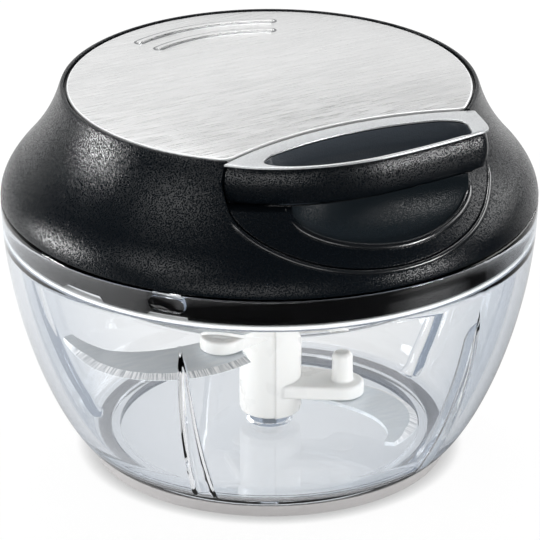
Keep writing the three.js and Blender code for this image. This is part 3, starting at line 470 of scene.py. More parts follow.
def patterned(values):
    material, tree, shader = newMaterial(values["name"], values["colour"], values["sockets"])
    inputs = {"Vector": place(tree, values.get("stretch", (1, 1, 1))), "Scale": 1 / (values["size"] * mm)}
    inputs.update({"Detail": values.get("detail", 3.0), "Roughness": values.get("contrast", 0.5)})
    pattern = addNode(tree, "ShaderNodeTexNoise", inputs)
    if "tones" in values:
        paint(tree, shader, pattern, values["tones"])
    if "rough" in values:
        rough = addNode(tree, "ShaderNodeMapRange", (pattern, 0.3, 0.7, *values["rough"]))
        setInputs(tree, shader, {"Roughness": rough})
    if "lightReach" in values:
        spread = [reach * mm for reach in values["lightReach"]]
        setInputs(tree, shader, {"Subsurface Radius": spread, "Subsurface Scale": 1.0})
    relief(tree, shader, pattern, *values["relief"])
    return material


blackValues = {
    "colour": "#080c10",
    # the scoop's paler copy of the black, a painted sheen
    "scoopSheenColour": "#171d21",
    # the slot's inner walls as a lighter copy of the black: painted light, as if lamps reached into the slot
    "litSlotColour": "#3f454c",
    "grain": 0.34,
    "grainDepth": 0.075,
    "sparkle": (0.04, 0.42),  # specular level in the grain's valleys and on its tips
    "gloss": (0.21, 0.27),
    "glossSize": 22,
    "edge": 0.4,
    "lipRoughness": 0.22,
}


def leatherGrain(tree, vector):
    inputs = {"Vector": vector, "Scale": 1 / (blackValues["grain"] * mm), "Detail": 1.0, "Roughness": 0.4}
    return addNode(tree, "ShaderNodeTexNoise", inputs)


def grainedAbs(name, colour, share):
    # injection-moulded ABS with a spark-eroded leather grain: deep black with soft, speckled highlights
    material, tree, shader = newMaterial(name, colour, {"IOR": 1.53})
    vector = place(tree)
    grain = leatherGrain(tree, vector)
    dull, bright = [level * share for level in blackValues["sparkle"]]
    speckle = addNode(tree, "ShaderNodeMapRange", (grain, 0.42, 0.6, dull, bright))
    inputs = {"Vector": vector, "Scale": 1 / (blackValues["glossSize"] * mm), "Detail": 2.0}
    broad = addNode(tree, "ShaderNodeTexNoise", inputs)
    gloss = addNode(tree, "ShaderNodeMapRange", (broad, 0.3, 0.7, *blackValues["gloss"]))
    setInputs(tree, shader, {"Specular IOR Level": speckle, "Roughness": gloss})
    relief(tree, shader, grain, blackValues["grainDepth"], 1.0, blackValues["edge"])
    return material


def lipAbs():
    # the grain stops at the rounded lips, where the mould is polished: they catch a thin bright line
    rough = blackValues["lipRoughness"]
    inputs = {"IOR": 1.53, "Roughness": rough, "Coat Weight": 1.0, "Coat Roughness": rough}
    inputs["Specular IOR Level"] = 1.0
    material, tree, shader = newMaterial("lipBlackAbs", blackValues["colour"], inputs)
    relief(tree, shader, leatherGrain(tree, place(tree)), blackValues["grainDepth"] / 2)
    return material


brushedValues = {
    "lineWidth": 0.26,
    "lineLength": 9,
    "plate": (("#d2d3d3", "#eaeaea"), 0.3),
    "paintedCreaseShade": (("#6f7173", "#8a8c8e"), 0.4),  # painted shade: a darker copy of the brushed steel on the low strip round the foot of each embossed arc
}


def brushedStainless(name, tones, rough):
    # stainless sheet, brushed along X: long fine scratches that stretch each highlight across the grain
    # the real lines are about 0.1 mm wide and are drawn at three times that, so that they show
    material, tree, shader = newMaterial(name, tones[1], {"Metallic": 1.0})
    width = brushedValues["lineWidth"]
    vector = place(tree, (width / brushedValues["lineLength"], 1, 1))
    inputs = {"Vector": vector, "Scale": 1 / (width * mm), "Detail": 3.0, "Roughness": 0.7}
    lines = addNode(tree, "ShaderNodeTexNoise", inputs)
    inputs = {"Vector": place(tree, (0.3, 1, 1)), "Scale": 1 / (16 * mm), "Detail": 2.0}
    patches = addNode(tree, "ShaderNodeTexNoise", inputs)
    both = addNode(tree, "ShaderNodeMath", (patches, 0.25, lines), operation="MULTIPLY_ADD")
    paint(tree, shader, both, tones, 0.42, 0.82)
    worn = addNode(tree, "ShaderNodeMapRange", (lines, 0.3, 0.7, rough - 0.08, rough + 0.1))
    setInputs(tree, shader, {"Roughness": worn})
    relief(tree, shader, lines, 0.012, 0.6, 0.2)
    return material


def groundEdge():
    # the blade's ground bevel: a white, non-metallic colour paints its glint, with the wheel's scratches
    # square to the edge, about 0.5 mm apart
    material, tree, shader = newMaterial("groundBladeEdge", "#f4f6f8", {})
    along = addNode(tree, "ShaderNodeUVMap", uv_map="alongEdge")
    vector = addNode(tree, "ShaderNodeMapping", {"Vector": along, "Scale": (1, 0.06, 1)})
    inputs = {"Vector": vector, "Scale": 1 / (0.55 * mm), "Detail": 3.0, "Roughness": 0.75}
    scratches = addNode(tree, "ShaderNodeTexNoise", inputs)
    paint(tree, shader, scratches, ("#a9afb5", "#ffffff"), 0.4, 0.56)
    relief(tree, shader, scratches, 0.05, 0.7)
    return material


clearValues = {
    "colour": "#fafbfc",
    "side": "#98a9bd",  # painted shade: a blue-grey tint where the wall is seen at a slant
    "ior": 1.5,
    "shadow": "#f3f3f3",
    # colour of the bowl's painted glow
    "glow": "#a3adbb",
    "bounces": 7.5,
}


def clearSan():
    # clear SAN, polished in the mould: sharp reflections, and slightly wavy where the melt flowed
    inputs = {"IOR": clearValues["ior"], "Roughness": 0.0, "Transmission Weight": 1.0}
    material, tree, shader = newMaterial("clearSan", clearValues["colour"], inputs)
    # painted shade: the colour turns blue-grey where the wall is seen at a slant
    slantShade = addNode(tree, "ShaderNodeLayerWeight", {"Blend": 0.35}).outputs["Facing"]
    paint(tree, shader, slantShade, (clearValues["colour"], clearValues["side"]), 0.12, 0.95)
    inputs = {"Vector": place(tree), "Scale": 1 / (30 * mm), "Detail": 1.0}
    relief(tree, shader, addNode(tree, "ShaderNodeTexNoise", inputs), 0.06, 0.5)
    rays = addNode(tree, "ShaderNodeLightPath").outputs
    # what the bowl holds is lit straight through its wall
    inputs = (rays["Is Shadow Ray"], rays["Is Diffuse Ray"])
    lit = addNode(tree, "ShaderNodeMath", inputs, operation="MAXIMUM")
    lamps = addNode(tree, "ShaderNodeBsdfTransparent", {"Color": linearColour(clearValues["shadow"])})
    both = addNode(tree, "ShaderNodeMixShader", (lit, shader, lamps))
    # painted glow: past this many bounces the bowl gives off a pale light of its own, where a short path
    # would leave it black
    inputs = (rays["Ray Depth"], clearValues["bounces"])
    trapped = addNode(tree, "ShaderNodeMath", inputs, operation="GREATER_THAN")
    glow = addNode(tree, "ShaderNodeEmission", (linearColour(clearValues["glow"]), 1.0))
    whole = addNode(tree, "ShaderNodeMixShader", (trapped, both, glow))
    setInputs(tree, tree.nodes["Material Output"], {"Surface": whole})
    return material


def braidedCord():
    # braided polyester cord, 2 mm: crossing strands about 0.5 mm wide, with a dull fibre sheen
    material, tree, shader = newMaterial("braidedCord", "#e6e5df", {"Roughness": 0.8, "Sheen Weight": 0.3})
    strands = addNode(tree, "ShaderNodeTexVoronoi", {"Vector": place(tree), "Scale": 1 / (0.5 * mm)})
    paint(tree, shader, strands, ("#efeee9", "#b9b7ae"), 0.0, 0.8)
    relief(tree, shader, strands, -0.12, 0.8)
    return material


finish = {
    "black": grainedAbs("grainedBlackAbs", blackValues["colour"], 1.0),
    "scoop": grainedAbs("sheenGrainedAbs", blackValues["scoopSheenColour"], 0.4),
    "grip": grainedAbs("gripGrainedAbs", blackValues["colour"], 1.9),
    "slot": grainedAbs("litSlotGrainedAbs", blackValues["litSlotColour"], 1.9),
    "lip": lipAbs(),
    "plate": brushedStainless("brushedStainless", *brushedValues["plate"]),
    "paintedCreaseShade": brushedStainless("shadedCreaseStainless", *brushedValues["paintedCreaseShade"]),
    "edge": groundEdge(),
    "clear": clearSan(),
    "cord": braidedCord(),
    **{name: patterned(values) for name, values in patternValues.items()},
}
print("materials made:", len(finish))


def newTree(name, sockets):
    tree = bpy.data.node_groups.new(name, "GeometryNodeTree")
    for label, kind in {"Geometry": "Geometry", **sockets, "Material": "Material"}.items():
        tree.interface.new_socket(label, in_out="INPUT", socket_type="NodeSocket" + kind)
    tree.interface.new_socket("Geometry", in_out="OUTPUT", socket_type="NodeSocketGeometry")
    return tree, addNode(tree, "NodeGroupInput").outputs


def endTree(tree, geometry, material):
    real = addNode(tree, "GeometryNodeRealizeInstances", {"Geometry": geometry})
    painted = addNode(tree, "GeometryNodeSetMaterial", {"Geometry": real, "Material": material})
    addNode(tree, "NodeGroupOutput", {"Geometry": painted})
    return tree


def runTree(piece, tree, values):
    # sets each named input by its socket's identifier, then keeps the plain mesh
    modifier = piece.modifiers.new(tree.name, "NODES")
    modifier.node_group = tree
    for item in tree.interface.items_tree:
        if item.item_type == "SOCKET" and item.in_out == "INPUT" and item.name in values:
            modifier[item.identifier] = values[item.name]
    bakeModifiers(piece)
    markEdges(piece.data, 32)
    return piece


def aroundAxisTree():
    # copies a piece about Z and joins the copies where they meet
    tree, given = newTree("aroundAxis", {"Count": "Int", "Join distance": "Float"})
    spots = addNode(tree, "GeometryNodeMeshCircle", {"Vertices": given["Count"], "Radius": 0.0})
    index = addNode(tree, "GeometryNodeInputIndex")
    turns = addNode(tree, "ShaderNodeMath", (index, fullTurn), operation="MULTIPLY")
    angle = addNode(tree, "ShaderNodeMath", (turns, given["Count"]), operation="DIVIDE")
    turnBy = addNode(tree, "ShaderNodeCombineXYZ", {"Z": angle})
    single = addNode(tree, "GeometryNodeGeometryToInstance", {"Geometry": given["Geometry"]})
    inputs = {"Points": spots, "Instance": single, "Rotation": turnBy}
    copies = addNode(tree, "GeometryNodeInstanceOnPoints", inputs)
    real = addNode(tree, "GeometryNodeRealizeInstances", {"Geometry": copies})
    inputs = {"Geometry": real, "Distance": given["Join distance"]}
    return endTree(tree, addNode(tree, "GeometryNodeMergeByDistance", inputs), given["Material"])


def windingTree(name, strip):
    # one line of points wound about Z, with a round or a flat section
    labels = ["Turns", "Start angle", "Start radius", "End radius", "Start level", "End level"]
    sockets = {label: "Float" for label in labels + ["Width", "Height"]}
    tree, given = newTree(name, {"Steps": "Int", **sockets})
    line = addNode(tree, "GeometryNodeMeshLine", {"Count": given["Steps"]})
    index = addNode(tree, "GeometryNodeInputIndex")
    last = addNode(tree, "ShaderNodeMath", (given["Steps"], 1.0), operation="SUBTRACT")
    share = addNode(tree, "ShaderNodeMath", (index, last), operation="DIVIDE")
    turns = addNode(tree, "ShaderNodeMath", (share, given["Turns"]), operation="MULTIPLY")
    sweep = addNode(tree, "ShaderNodeMath", (turns, fullTurn), operation="MULTIPLY")
    angle = addNode(tree, "ShaderNodeMath", (given["Start angle"], sweep), operation="ADD")
    radius, level = [
        addNode(tree, "ShaderNodeMapRange", (share, 0, 1, given["Start " + label], given["End " + label]))
        for label in ("radius", "level")
    ]
    waves = [addNode(tree, "ShaderNodeMath", (angle,), operation=name) for name in ("COSINE", "SINE")]
    across, ahead = [addNode(tree, "ShaderNodeMath", (radius, wave), operation="MULTIPLY") for wave in waves]
    point = addNode(tree, "ShaderNodeCombineXYZ", {"X": across, "Y": ahead, "Z": level})
    wound = addNode(tree, "GeometryNodeSetPosition", {"Geometry": line, "Position": point})
    curve = addNode(tree, "GeometryNodeMeshToCurve", {"Mesh": wound})
    upright = addNode(tree, "GeometryNodeSetCurveNormal", {"Curve": curve}, mode="Z_UP")
    if strip:
        inputs = {"Width": given["Width"], "Height": given["Height"]}
        section = addNode(tree, "GeometryNodeCurvePrimitiveQuadrilateral", inputs, mode="RECTANGLE")
    else:
        half = addNode(tree, "ShaderNodeMath", (given["Width"], 2.0), operation="DIVIDE")
        section = addNode(tree, "GeometryNodeCurvePrimitiveCircle", {"Resolution": 14, "Radius": half})
    inputs = {"Curve": upright, "Profile Curve": section, "Fill Caps": True}
    return endTree(tree, addNode(tree, "GeometryNodeCurveToMesh", inputs), given["Material"])


def screwTree():
    # a cross-head screw, head down, on each point of the piece
    labels = ["Head radius", "Head height", "Shank radius", "Length", "Slot width", "Slot depth"]
    tree, given = newTree("screws", {label: "Float" for label in labels})
    headRadius, headHeight, slotWidth = given["Head radius"], given["Head height"], given["Slot width"]
    drop = addNode(tree, "ShaderNodeMath", (headHeight, -1.0), operation="MULTIPLY")
    low = addNode(tree, "ShaderNodeCombineXYZ", {"Z": drop})
    narrow = addNode(tree, "ShaderNodeMath", (headRadius, 0.7), operation="MULTIPLY")
    inputs = {"Vertices": 32, "Radius Top": headRadius, "Radius Bottom": narrow, "Depth": headHeight}
    cone = addNode(tree, "GeometryNodeMeshCone", inputs)
    head = addNode(tree, "GeometryNodeTransform", {"Geometry": cone, "Translation": low})
    slots = addNode(tree, "GeometryNodeJoinGeometry")
    reach = addNode(tree, "ShaderNodeMath", (headRadius, 1.2), operation="MULTIPLY")
    depth = addNode(tree, "ShaderNodeMath", (given["Slot depth"], 2.0), operation="MULTIPLY")
    for across, along in ((slotWidth, reach), (reach, slotWidth)):
        size = addNode(tree, "ShaderNodeCombineXYZ", {"X": across, "Y": along, "Z": depth})
        bar = addNode(tree, "GeometryNodeMeshCube", {"Size": size})
        bar = addNode(tree, "GeometryNodeTransform", {"Geometry": bar, "Translation": low})
        setInputs(tree, slots, {"Geometry": bar})
    slotted = addNode(tree, "GeometryNodeMeshBoolean", (head, slots), operation="DIFFERENCE")
    shankRadius = given["Shank radius"]
    thin = addNode(tree, "ShaderNodeMath", (shankRadius, 0.5), operation="MULTIPLY")
    inputs = {"Vertices": 24, "Radius Top": thin, "Radius Bottom": shankRadius, "Depth": given["Length"]}
    shank = addNode(tree, "GeometryNodeMeshCone", inputs)
    whole = addNode(tree, "GeometryNodeJoinGeometry")
    for part in (slotted, shank):
        setInputs(tree, whole, {"Geometry": part})
    screws = addNode(tree, "GeometryNodeInstanceOnPoints", {"Points": given["Geometry"], "Instance": whole})
    return endTree(tree, screws, given["Material"])


aroundAxis = aroundAxisTree()


def repeated(piece, count):
    return runTree(piece, aroundAxis, {"Count": count, "Join distance": 0.001 * mm})


# the bayonet lugs, which the lid's tracks have to meet
lugAngle, lugCount = math.radians(218.5), 3

bowlValues = {
    "radius": 66.2,
    "footRadius": 45.5,
    "baseLevel": 3.5,
    "floorLevel": 6.3,
    "rimLevel": 67.5,
    "rimRound": 0.55,
    "wall": 2.9,
    "sideShares": [(0, 0), (0.445, 0.125), (1, 0.59), (1, 1)],
    "collarRadius": 64.3,
    "ledgeLevel": 59.1,
    "ridge": (38.0, 40.3, 1.3),  # under the floor: inner and outer radius, and how low it reaches
    "boss": (5.2, 8.6),  # radius and top
    "pinHole": (2.1, 4.7),  # radius and bottom
    "ribCount": 5,
    "ribTop": 50,
    "ribAngle": 221,
    "ribTopWidth": 0.9,
    "ribFootWidth": 6.2,
    "ribSpread": 0.62,
    "ribDepth": 2.6,
    "ribSection": [(-1, 0), (-0.86, 0.5), (-0.62, 0.84), (-0.3, 0.97), (0, 1)],
    "lugWidth": 9.2,
    "lugHeight": 3.8,
    "lugLevel": 63.9,
    "lugReach": 1.7,
    "sideSteps": 44,
    "columns": 15,
}


def sideCurve(values, steps):
    low, high = values["baseLevel"], values["rimLevel"]
    foot, radius = values["footRadius"], values["radius"]
    return bezier([(mix(foot, radius, a), mix(low, high, b)) for a, b in values["sideShares"]], steps)


def bowlRows(values):
    # radius and level of each row, and whether the ribs stand on it
    side = sideCurve(values, values["sideSteps"])
    wall = shifted(side, values["wall"])
    floor, ledge, rim = values["floorLevel"], values["ledgeLevel"], values["rimLevel"]
    base, collar = values["baseLevel"], values["collarRadius"]
    inner, outer, low = values["ridge"]
    rows = [(0, base), (inner / 2, base), (inner, base), (inner, low), (outer, low), (outer, base)]
    rows += [(values["footRadius"] - 0.5, base), (values["footRadius"] + 0.1, side[0].y + 0.12)]
    rows += [(p.x, p.y) for p in side[1:-1]]
    edge = quarterRound(values["rimRound"], coarseAngles)
    rows += [(values["radius"] - back, rim - down) for back, down in edge]
    edge = quarterRound(values["rimRound"], (0.3, 0.8, 1.57))
    rows += [(collar + back, rim - down) for down, back in edge]
    rows += [(collar, mix(rim, ledge, 0.5)), (collar, ledge + 0.1), (collar - 0.1, ledge)]
    high = [p for p in wall if p.y < ledge - 0.3]
    top = high[-1]
    rows += [(top.x + 0.35, ledge), (top.x + 0.12, ledge - 0.15)]
    plain = [(r, z, False) for r, z in rows]
    ribbed = [(p.x, p.y, True) for p in reversed(high) if p.y > floor + 4.5]
    last = Vector(ribbed[-1][:2])
    corner = Vector((last.x - 3.6, floor))
    hip = Vector((last.x - 1.7, floor + 0.4))
    fillet = bezier([last, last.lerp(hip, 0.7), corner.lerp(hip, 0.7), corner], 6)
    ribbed += [(p.x, p.y, True) for p in fillet[1:]]
    boss, bossTop = values["boss"]
    hole, holeLow = values["pinHole"]
    inside = [(corner.x - 4.5, floor), (20, floor), (boss + 0.6, floor), (boss, floor + 0.6)]
    inside += [(boss, bossTop - 0.3), (boss - 0.3, bossTop), (hole, bossTop), (hole, holeLow), (0, holeLow)]
    return plain + ribbed + [(r, z, False) for r, z in inside]


def ribShare(values, level):
    # how far down the rib a level lies, from its tip to the floor
    return min(max((values["ribTop"] - level) / (values["ribTop"] - values["floorLevel"]), 0), 1)


def bowlSector(values):
    section = values["ribSection"] + [(-f, h) for f, h in reversed(values["ribSection"][:-1])]
    half = math.pi / values["ribCount"]
    ribAngle = math.radians(values["ribAngle"])
    points, faces = [], []
    count = 0
    for radius, level, ribbed in bowlRows(values):
        share = ribShare(values, level)
        width = mix(values["ribTopWidth"], values["ribFootWidth"], share ** values["ribSpread"]) / 2
        edge = width / max(radius, 40)
        depth = values["ribDepth"] * min(share * 9, 1) ** 0.5 if ribbed else 0
        row = [(-half + (half - edge) * i / values["columns"], 0) for i in range(values["columns"])]
        row += [(f * edge, h * depth) for f, h in section]
        row += [(edge + (half - edge) * i / values["columns"], 0) for i in range(1, values["columns"] + 1)]
        for angle, height in row:
            r = max(radius - height, 0)
            points.append((r * math.cos(angle + ribAngle), r * math.sin(angle + ribAngle), level))
        count = len(row)
    for k in range(len(points) // count - 1):
        for i in range(count - 1):
            a = k * count + i
            faces.append((a, a + 1, a + 1 + count, a + count))
    return meshPiece("bowlSector", points, faces, 50)


def stadium(width, height, steps):
    radius, reach = height / 2, width / 2 - height / 2
    right = arcPoints((reach, 0), radius, -math.pi / 2, math.pi / 2, steps)
    left = arcPoints((-reach, 0), radius, math.pi / 2, 1.5 * math.pi, steps)
    return right + left


def makeBowl(values):
    bowl = repeated(bowlSector(values), values["ribCount"])
    bowl.name = "clearBowl"
    with edited(bowl.data) as work:
        bmesh.ops.dissolve_degenerate(work, edges=work.edges, dist=0.001 * mm)
        bmesh.ops.recalc_face_normals(work, faces=work.faces)
    collar, level, reach = values["collarRadius"], values["lugLevel"], values["lugReach"]
    loops = []
    for depth, inset in ((-0.8, 0), (reach - 0.35, 0), (reach - 0.1, 0.1), (reach, 0.35)):
        outline = stadium(values["lugWidth"] - 2 * inset, values["lugHeight"] - 2 * inset, 12)
        loops.append([(collar - depth, x, level + z) for x, z in outline])
    points, faces = loopStack(loops)
    lugs = repeated(meshPiece("lug", turned(points, lugAngle), faces), lugCount)
    carve(bowl, lugs, "UNION", 40)
    return dress(bowl, "bowl", "clear", "clear_plastic", "bowl")


makeBowl(bowlValues)
print("bowl made")


# plain turned pieces, as (radius, level) outlines that start at the lower inner corner
turnedPieces = {
    "footRing": {
        "outline": [
            (40.6, 0.4), (41, 0), (43.6, 0), (44.2, 0.25),
            (44.4, 0.8), (44.4, 3.0), (44.2, 3.2), (40.6, 3.2),
        ],
        "body": "bowl",
        "finish": "foot",
        "slot": "foot_rubber",
        "node": "foot_ring",
    },
    "pivotPin": {
        "outline": [(0, 5.0), (1.8, 5.0), (1.8, 18.7), (1.55, 19.2), (1.2, 19.45), (0, 19.5)],
        "body": "bowl",
        "finish": "steel",
        "slot": "plain_steel",
        "node": "pivot_pin",
    },
    "lidSeal": {
        "outline": [
            (61.8, 59.4), (63.8, 59.4), (64, 59.6), (64, 60.1),
            (63.8, 60.3), (61.8, 60.3), (61.6, 60.1), (61.6, 59.6),
        ],
        "body": "seal",
        "finish": "seal",
        "slot": "seal_silicone",
        "node": "lid_seal",
    },
    "baseBush": {
        "outline": [
            (8.5, 61.9), (11.8, 61.9), (12, 62.1), (12, 62.7),
            (9.6, 62.7), (9.6, 72.1), (8.3, 72.1), (8.3, 62.1),
        ],
        "body": "lid",
        "finish": "nylon",
        "slot": "natural_plastic",
        "node": "base_bush",
    },
    "hubBush": {
        "outline": [(2.2, 9.1), (3.3, 9.1), (3.4, 9.2), (3.4, 17.9), (2.1, 17.9), (2.1, 9.2)],
        "body": "blade_unit",
        "finish": "brass",
        "slot": "bush_brass",
        "node": "hub_bush",
    },
}


def makeTurned(name, values):
    closed = values["outline"][0][0] > 0
    points, faces = revolved(values["outline"], 160, closed)
    piece = meshPiece(name, points, faces)
    return dress(piece, values["body"], values["finish"], values["slot"], values["node"])


for pieceName, pieceValues in turnedPieces.items():
    makeTurned(pieceName, pieceValues)
print("turned pieces made")


lidValues = {
    "level": 67.8,
    "topLevel": 96.2,
    "radius": 66.2,
    "topRadius": 51.2,
    "shoulderShares": [(1, 0), (1, 0.13), (0.84, 0.254), (0.653, 0.36), (0.42, 0.51), (0.16, 0.694), (0, 1)],
    "wall": 2.4,
    "deckTop": 95.0,
    "deck": 92.8,
    "rimInner": 50.3,
    "spigot": (58.8, 60.5, 65.3),  # inner and outer radius, and how low it reaches
    "steps": 288,
}

recessValues = {
    "halfWidth": 35.3,
    "rear": 31.4,
    "arcRadius": 85,
    "middleLevel": 86.0,
    "depth": 13.5,
    "low": 70.2,
    "lip": 0.7,
    "seam": 0.35,
    "rearWall": 1.8,
}


def shoulder(values, steps):
    low, high = values["level"], values["topLevel"]
    top, radius = values["topRadius"], values["radius"]
    places = [(mix(top, radius, a), mix(low, high, b)) for a, b in values["shoulderShares"]]
    return bezier(places[:4], steps) + bezier(places[3:], steps)[1:]


shoulderCurve = shoulder(lidValues, 60)


def recessCutter(values, inset, rear, low, halfWidth=None):
    half = (values["halfWidth"] if halfWidth is None else halfWidth) - inset
    radius, depth = values["arcRadius"], values["depth"] - inset
    top, reach = 100, 70
    centre = rear + radius
    spread = math.asin(half / radius)
    plan = [(-half, -reach), (half, -reach)]
    plan += arcPoints((0, -centre), radius, math.pi / 2 - spread, math.pi / 2 + spread, 48)
    front = [(half, top), (-half, top)]
    for i in range(73):
        a = math.pi + math.pi * i / 72
        front.append((half * math.cos(a), values["middleLevel"] + depth * math.sin(a)))
    block = meshPiece("recessBlock", *prismUp(plan, low, top))
    return carve(block, meshPiece("recessFront", *prismForward(front, 5, reach + 5)), "INTERSECT")


def shoulderRadius(level):
    # outer radius of the lid at a level
    for a, b in zip(shoulderCurve, shoulderCurve[1:]):
        if a.y <= level <= b.y:
            return mix(a.x, b.x, (level - a.y) / (b.y - a.y))
    return lidValues["topRadius"]


def onShoulder(across, level, inset):
    radius = shoulderRadius(level) - inset
    return Vector((across, -math.sqrt(max(radius * radius - across * across, 0)), level))


def bead(name, path, radius, sides=10):
    # a round lip along an open path, pointed at its ends
    loops = []
    for i, point in enumerate(path):
        along = (path[min(i + 1, len(path) - 1)] - path[max(i - 1, 0)]).normalized()
        outward = Vector((point.x, point.y, 0)).normalized()
        across = along.cross(outward).normalized()
        outward = across.cross(along)
        size = radius * min(1, (0.2 + i) / 6, (0.2 + len(path) - 1 - i) / 6)
        angles = [fullTurn * k / sides for k in range(sides)]
        loops.append([tuple(point + (across * math.cos(a) + outward * math.sin(a)) * size) for a in angles])
    piece = meshPiece(name, *loopStack(loops), 60)
    for polygon in piece.data.polygons:
        polygon.material_index = 1
    return piece


def recessLip(values):
    # along the lower edge of the recess, where the lid's grained skin turns inwards
    path = []
    for i in range(97):
        a = math.pi + math.pi * mix(0.04, 0.96, i / 96)
        across = (values["halfWidth"] + values["lip"]) * math.cos(a)
        level = values["middleLevel"] + (values["depth"] + values["lip"]) * math.sin(a)
        path.append(onShoulder(across, level, values["lip"] * 0.68))
    return bead("recessLip", path, values["lip"])


def makeCover(values):
    outside = [(p.x, p.y) for p in shoulder(values, 22)]
    inside = [(p.x, p.y) for p in shifted(shoulder(values, 8), values["wall"])]
    low, high, deck = values["level"], values["topLevel"], values["deck"]
    radius, topRadius, rim = values["radius"], values["topRadius"], values["rimInner"]
    inside = [(r, z) for r, z in inside if low + values["wall"] < z < deck]
    spigotInner, spigotOuter, spigotLow = values["spigot"]
    profile = [(spigotOuter, low), (radius - 0.5, low), (radius - 0.15, low + 0.15), (radius, low + 0.5)]
    profile += outside[2:-1]
    profile += [(topRadius, high - 0.35), (topRadius - 0.12, high - 0.1), (topRadius - 0.35, high)]
    profile += [(rim + 0.1, high), (rim, high - 0.1), (rim, values["deckTop"]), (0, values["deckTop"])]
    profile += [(0, deck), (inside[-1][0] - 1.0, deck)] + inside[::-1]
    profile += [(spigotInner, low + values["wall"]), (spigotInner, spigotLow), (spigotOuter, spigotLow)]
    cover = meshPiece("lidCover", *revolved(profile, values["steps"]))
    carve(cover, recessCutter(recessValues, 0, recessValues["rear"], recessValues["low"]))
    for polygon in cover.data.polygons:
        polygon.material_index = 0
    cover = joined("lidCover", [cover, recessLip(recessValues)])
    addFinishes(cover, "black", "lip")
    return dress(cover, "lid", None, "black_plastic", "lid_cover")


makeCover(lidValues)
print("lid cover made")


wellValues = {
    "floor": 85.7,
    "wallTop": 92.5,
    "handleRear": 31.4,
    "scoopCentre": (2.4, -55, 87),
    "scoopSize": (26, 17, 10.5),
    "lip": 1.0,
    "lipEnds": (0.01, 0.97),
    "guideHole": (2.5, 88.2),  # radius and level
}


def scoopLip(values):
    # along the scoop's edge on the lid's outside
    size, centre, lip = values["scoopSize"], values["scoopCentre"], values["lip"]
    path = []
    for i in range(97):
        a = math.pi + math.pi * mix(values["lipEnds"][0], values["lipEnds"][1], i / 96)
        low, high = 0.0, 30.0
        for _ in range(40):
            reach = (low + high) / 2
            point = onShoulder(centre[0] + reach * math.cos(a), centre[2] + reach * math.sin(a), 0)
            inside = sum(((point[k] - centre[k]) / size[k]) ** 2 for k in range(3)) < 1
            low, high = (reach, high) if inside else (low, reach)
        reach = low + lip
        path.append(onShoulder(centre[0] + reach * math.cos(a), centre[2] + reach * math.sin(a), lip * 0.72))
    return bead("scoopLip", path, lip)


def makeWell(values):
    outside = [(p.x, p.y) for p in shoulder(lidValues, 22)]
    profile = [(0, lidValues["level"])] + outside + [(0, lidValues["topLevel"])]
    body = meshPiece("handleWell", *revolved(profile, lidValues["steps"], False))
    seam = recessValues["seam"]
    rear = recessValues["rear"] - recessValues["rearWall"]
    block = recessCutter(recessValues, seam, recessValues["rear"] + seam, lidValues["level"])
    wall = recessCutter(recessValues, seam + lidValues["wall"], rear, lidValues["level"])
    carve(block, wall, "UNION")
    carve(body, block, "INTERSECT")
    space = recessCutter(recessValues, 0, values["handleRear"], values["floor"], 60)
    carve(body, space)
    above = prismUp([(-70, -70), (70, -70), (70, 0), (-70, 0)], values["wallTop"], 100)
    carve(body, meshPiece("underDeck", *above))
    size, centre = values["scoopSize"], values["scoopCentre"]
    angles = [math.pi * i / 48 for i in range(49)]
    points, faces = revolved([(math.sin(a), -math.cos(a)) for a in angles], 144, False)
    points = [tuple(centre[k] + size[k] * p[k] for k in range(3)) for p in points]
    carve(body, meshPiece("scoop", points, faces))
    radius, level = values["guideHole"]
    outline = [(x, level + z) for x, z in circlePoints((0, 0), radius, 40)]
    carve(body, meshPiece("guideHole", *prismForward(outline, 25, 35)))
    # the scoop's faces lie on its ellipsoid, and take the paler copy of the black, a painted sheen
    for polygon in body.data.polygons:
        shares = [(polygon.center[k] / mm - centre[k]) / size[k] for k in range(3)]
        polygon.material_index = 2 if 0.97 < sum(share * share for share in shares) < 1.01 else 0
    body = joined("handleWell", [body, scoopLip(values)])
    addFinishes(body, "black", "lip", "scoop")
    return dress(body, "lid", None, "black_plastic", "handle_well")


makeWell(wellValues)
print("finger well made")


plateValues = {
    "radius": 49.6,
    "bottom": 95.3,
    "thickness": 0.8,
    "fold": 0.45,
    "gap": 0.6,
    "corner": 1.8,
    "embossRadii": (42.5, 36.1),
    "embossWidth": 3,
    "embossHeight": 0.3,
    "embossSweep": 50,
    "embossAngle": 85,
    "embossFoot": (0.6, 0.05),  # a nearly flat strip round the foot of each arc, and how far it rises
    "embossEdge": (0.8, 0.9),  # how far in the side of the arc ends, and its top begins
}


def plateLoop(values, inset):
    rear = recessValues["rear"] - values["gap"] - inset
    circle = values["radius"] - inset
    arc = recessValues["arcRadius"] + inset
    centre = rear + arc
    down = (centre ** 2 + circle ** 2 - arc ** 2) / (2 * centre)
    across = math.sqrt(circle ** 2 - down ** 2)
    rim = math.atan2(-down, across) + values["corner"] / circle
    spread = math.asin(across / arc) - values["corner"] / arc
    loop = arcPoints((0, 0), circle, rim, math.pi - rim, 190)
    front = arcPoints((0, -centre), arc, math.pi / 2 + spread, math.pi / 2 - spread, 60)
    for a, b in ((loop[-1], front[0]), (front[-1], loop[0])):
        side = 1 if b[0] > 0 else -1
        corner = Vector((side * across, -down))
        steps = [Vector(a).lerp(corner, t).lerp(corner.lerp(Vector(b), t), t) for t in (0.25, 0.5, 0.75)]
        loop += [tuple(p) for p in steps] + (front if side < 0 else [])
    return loop


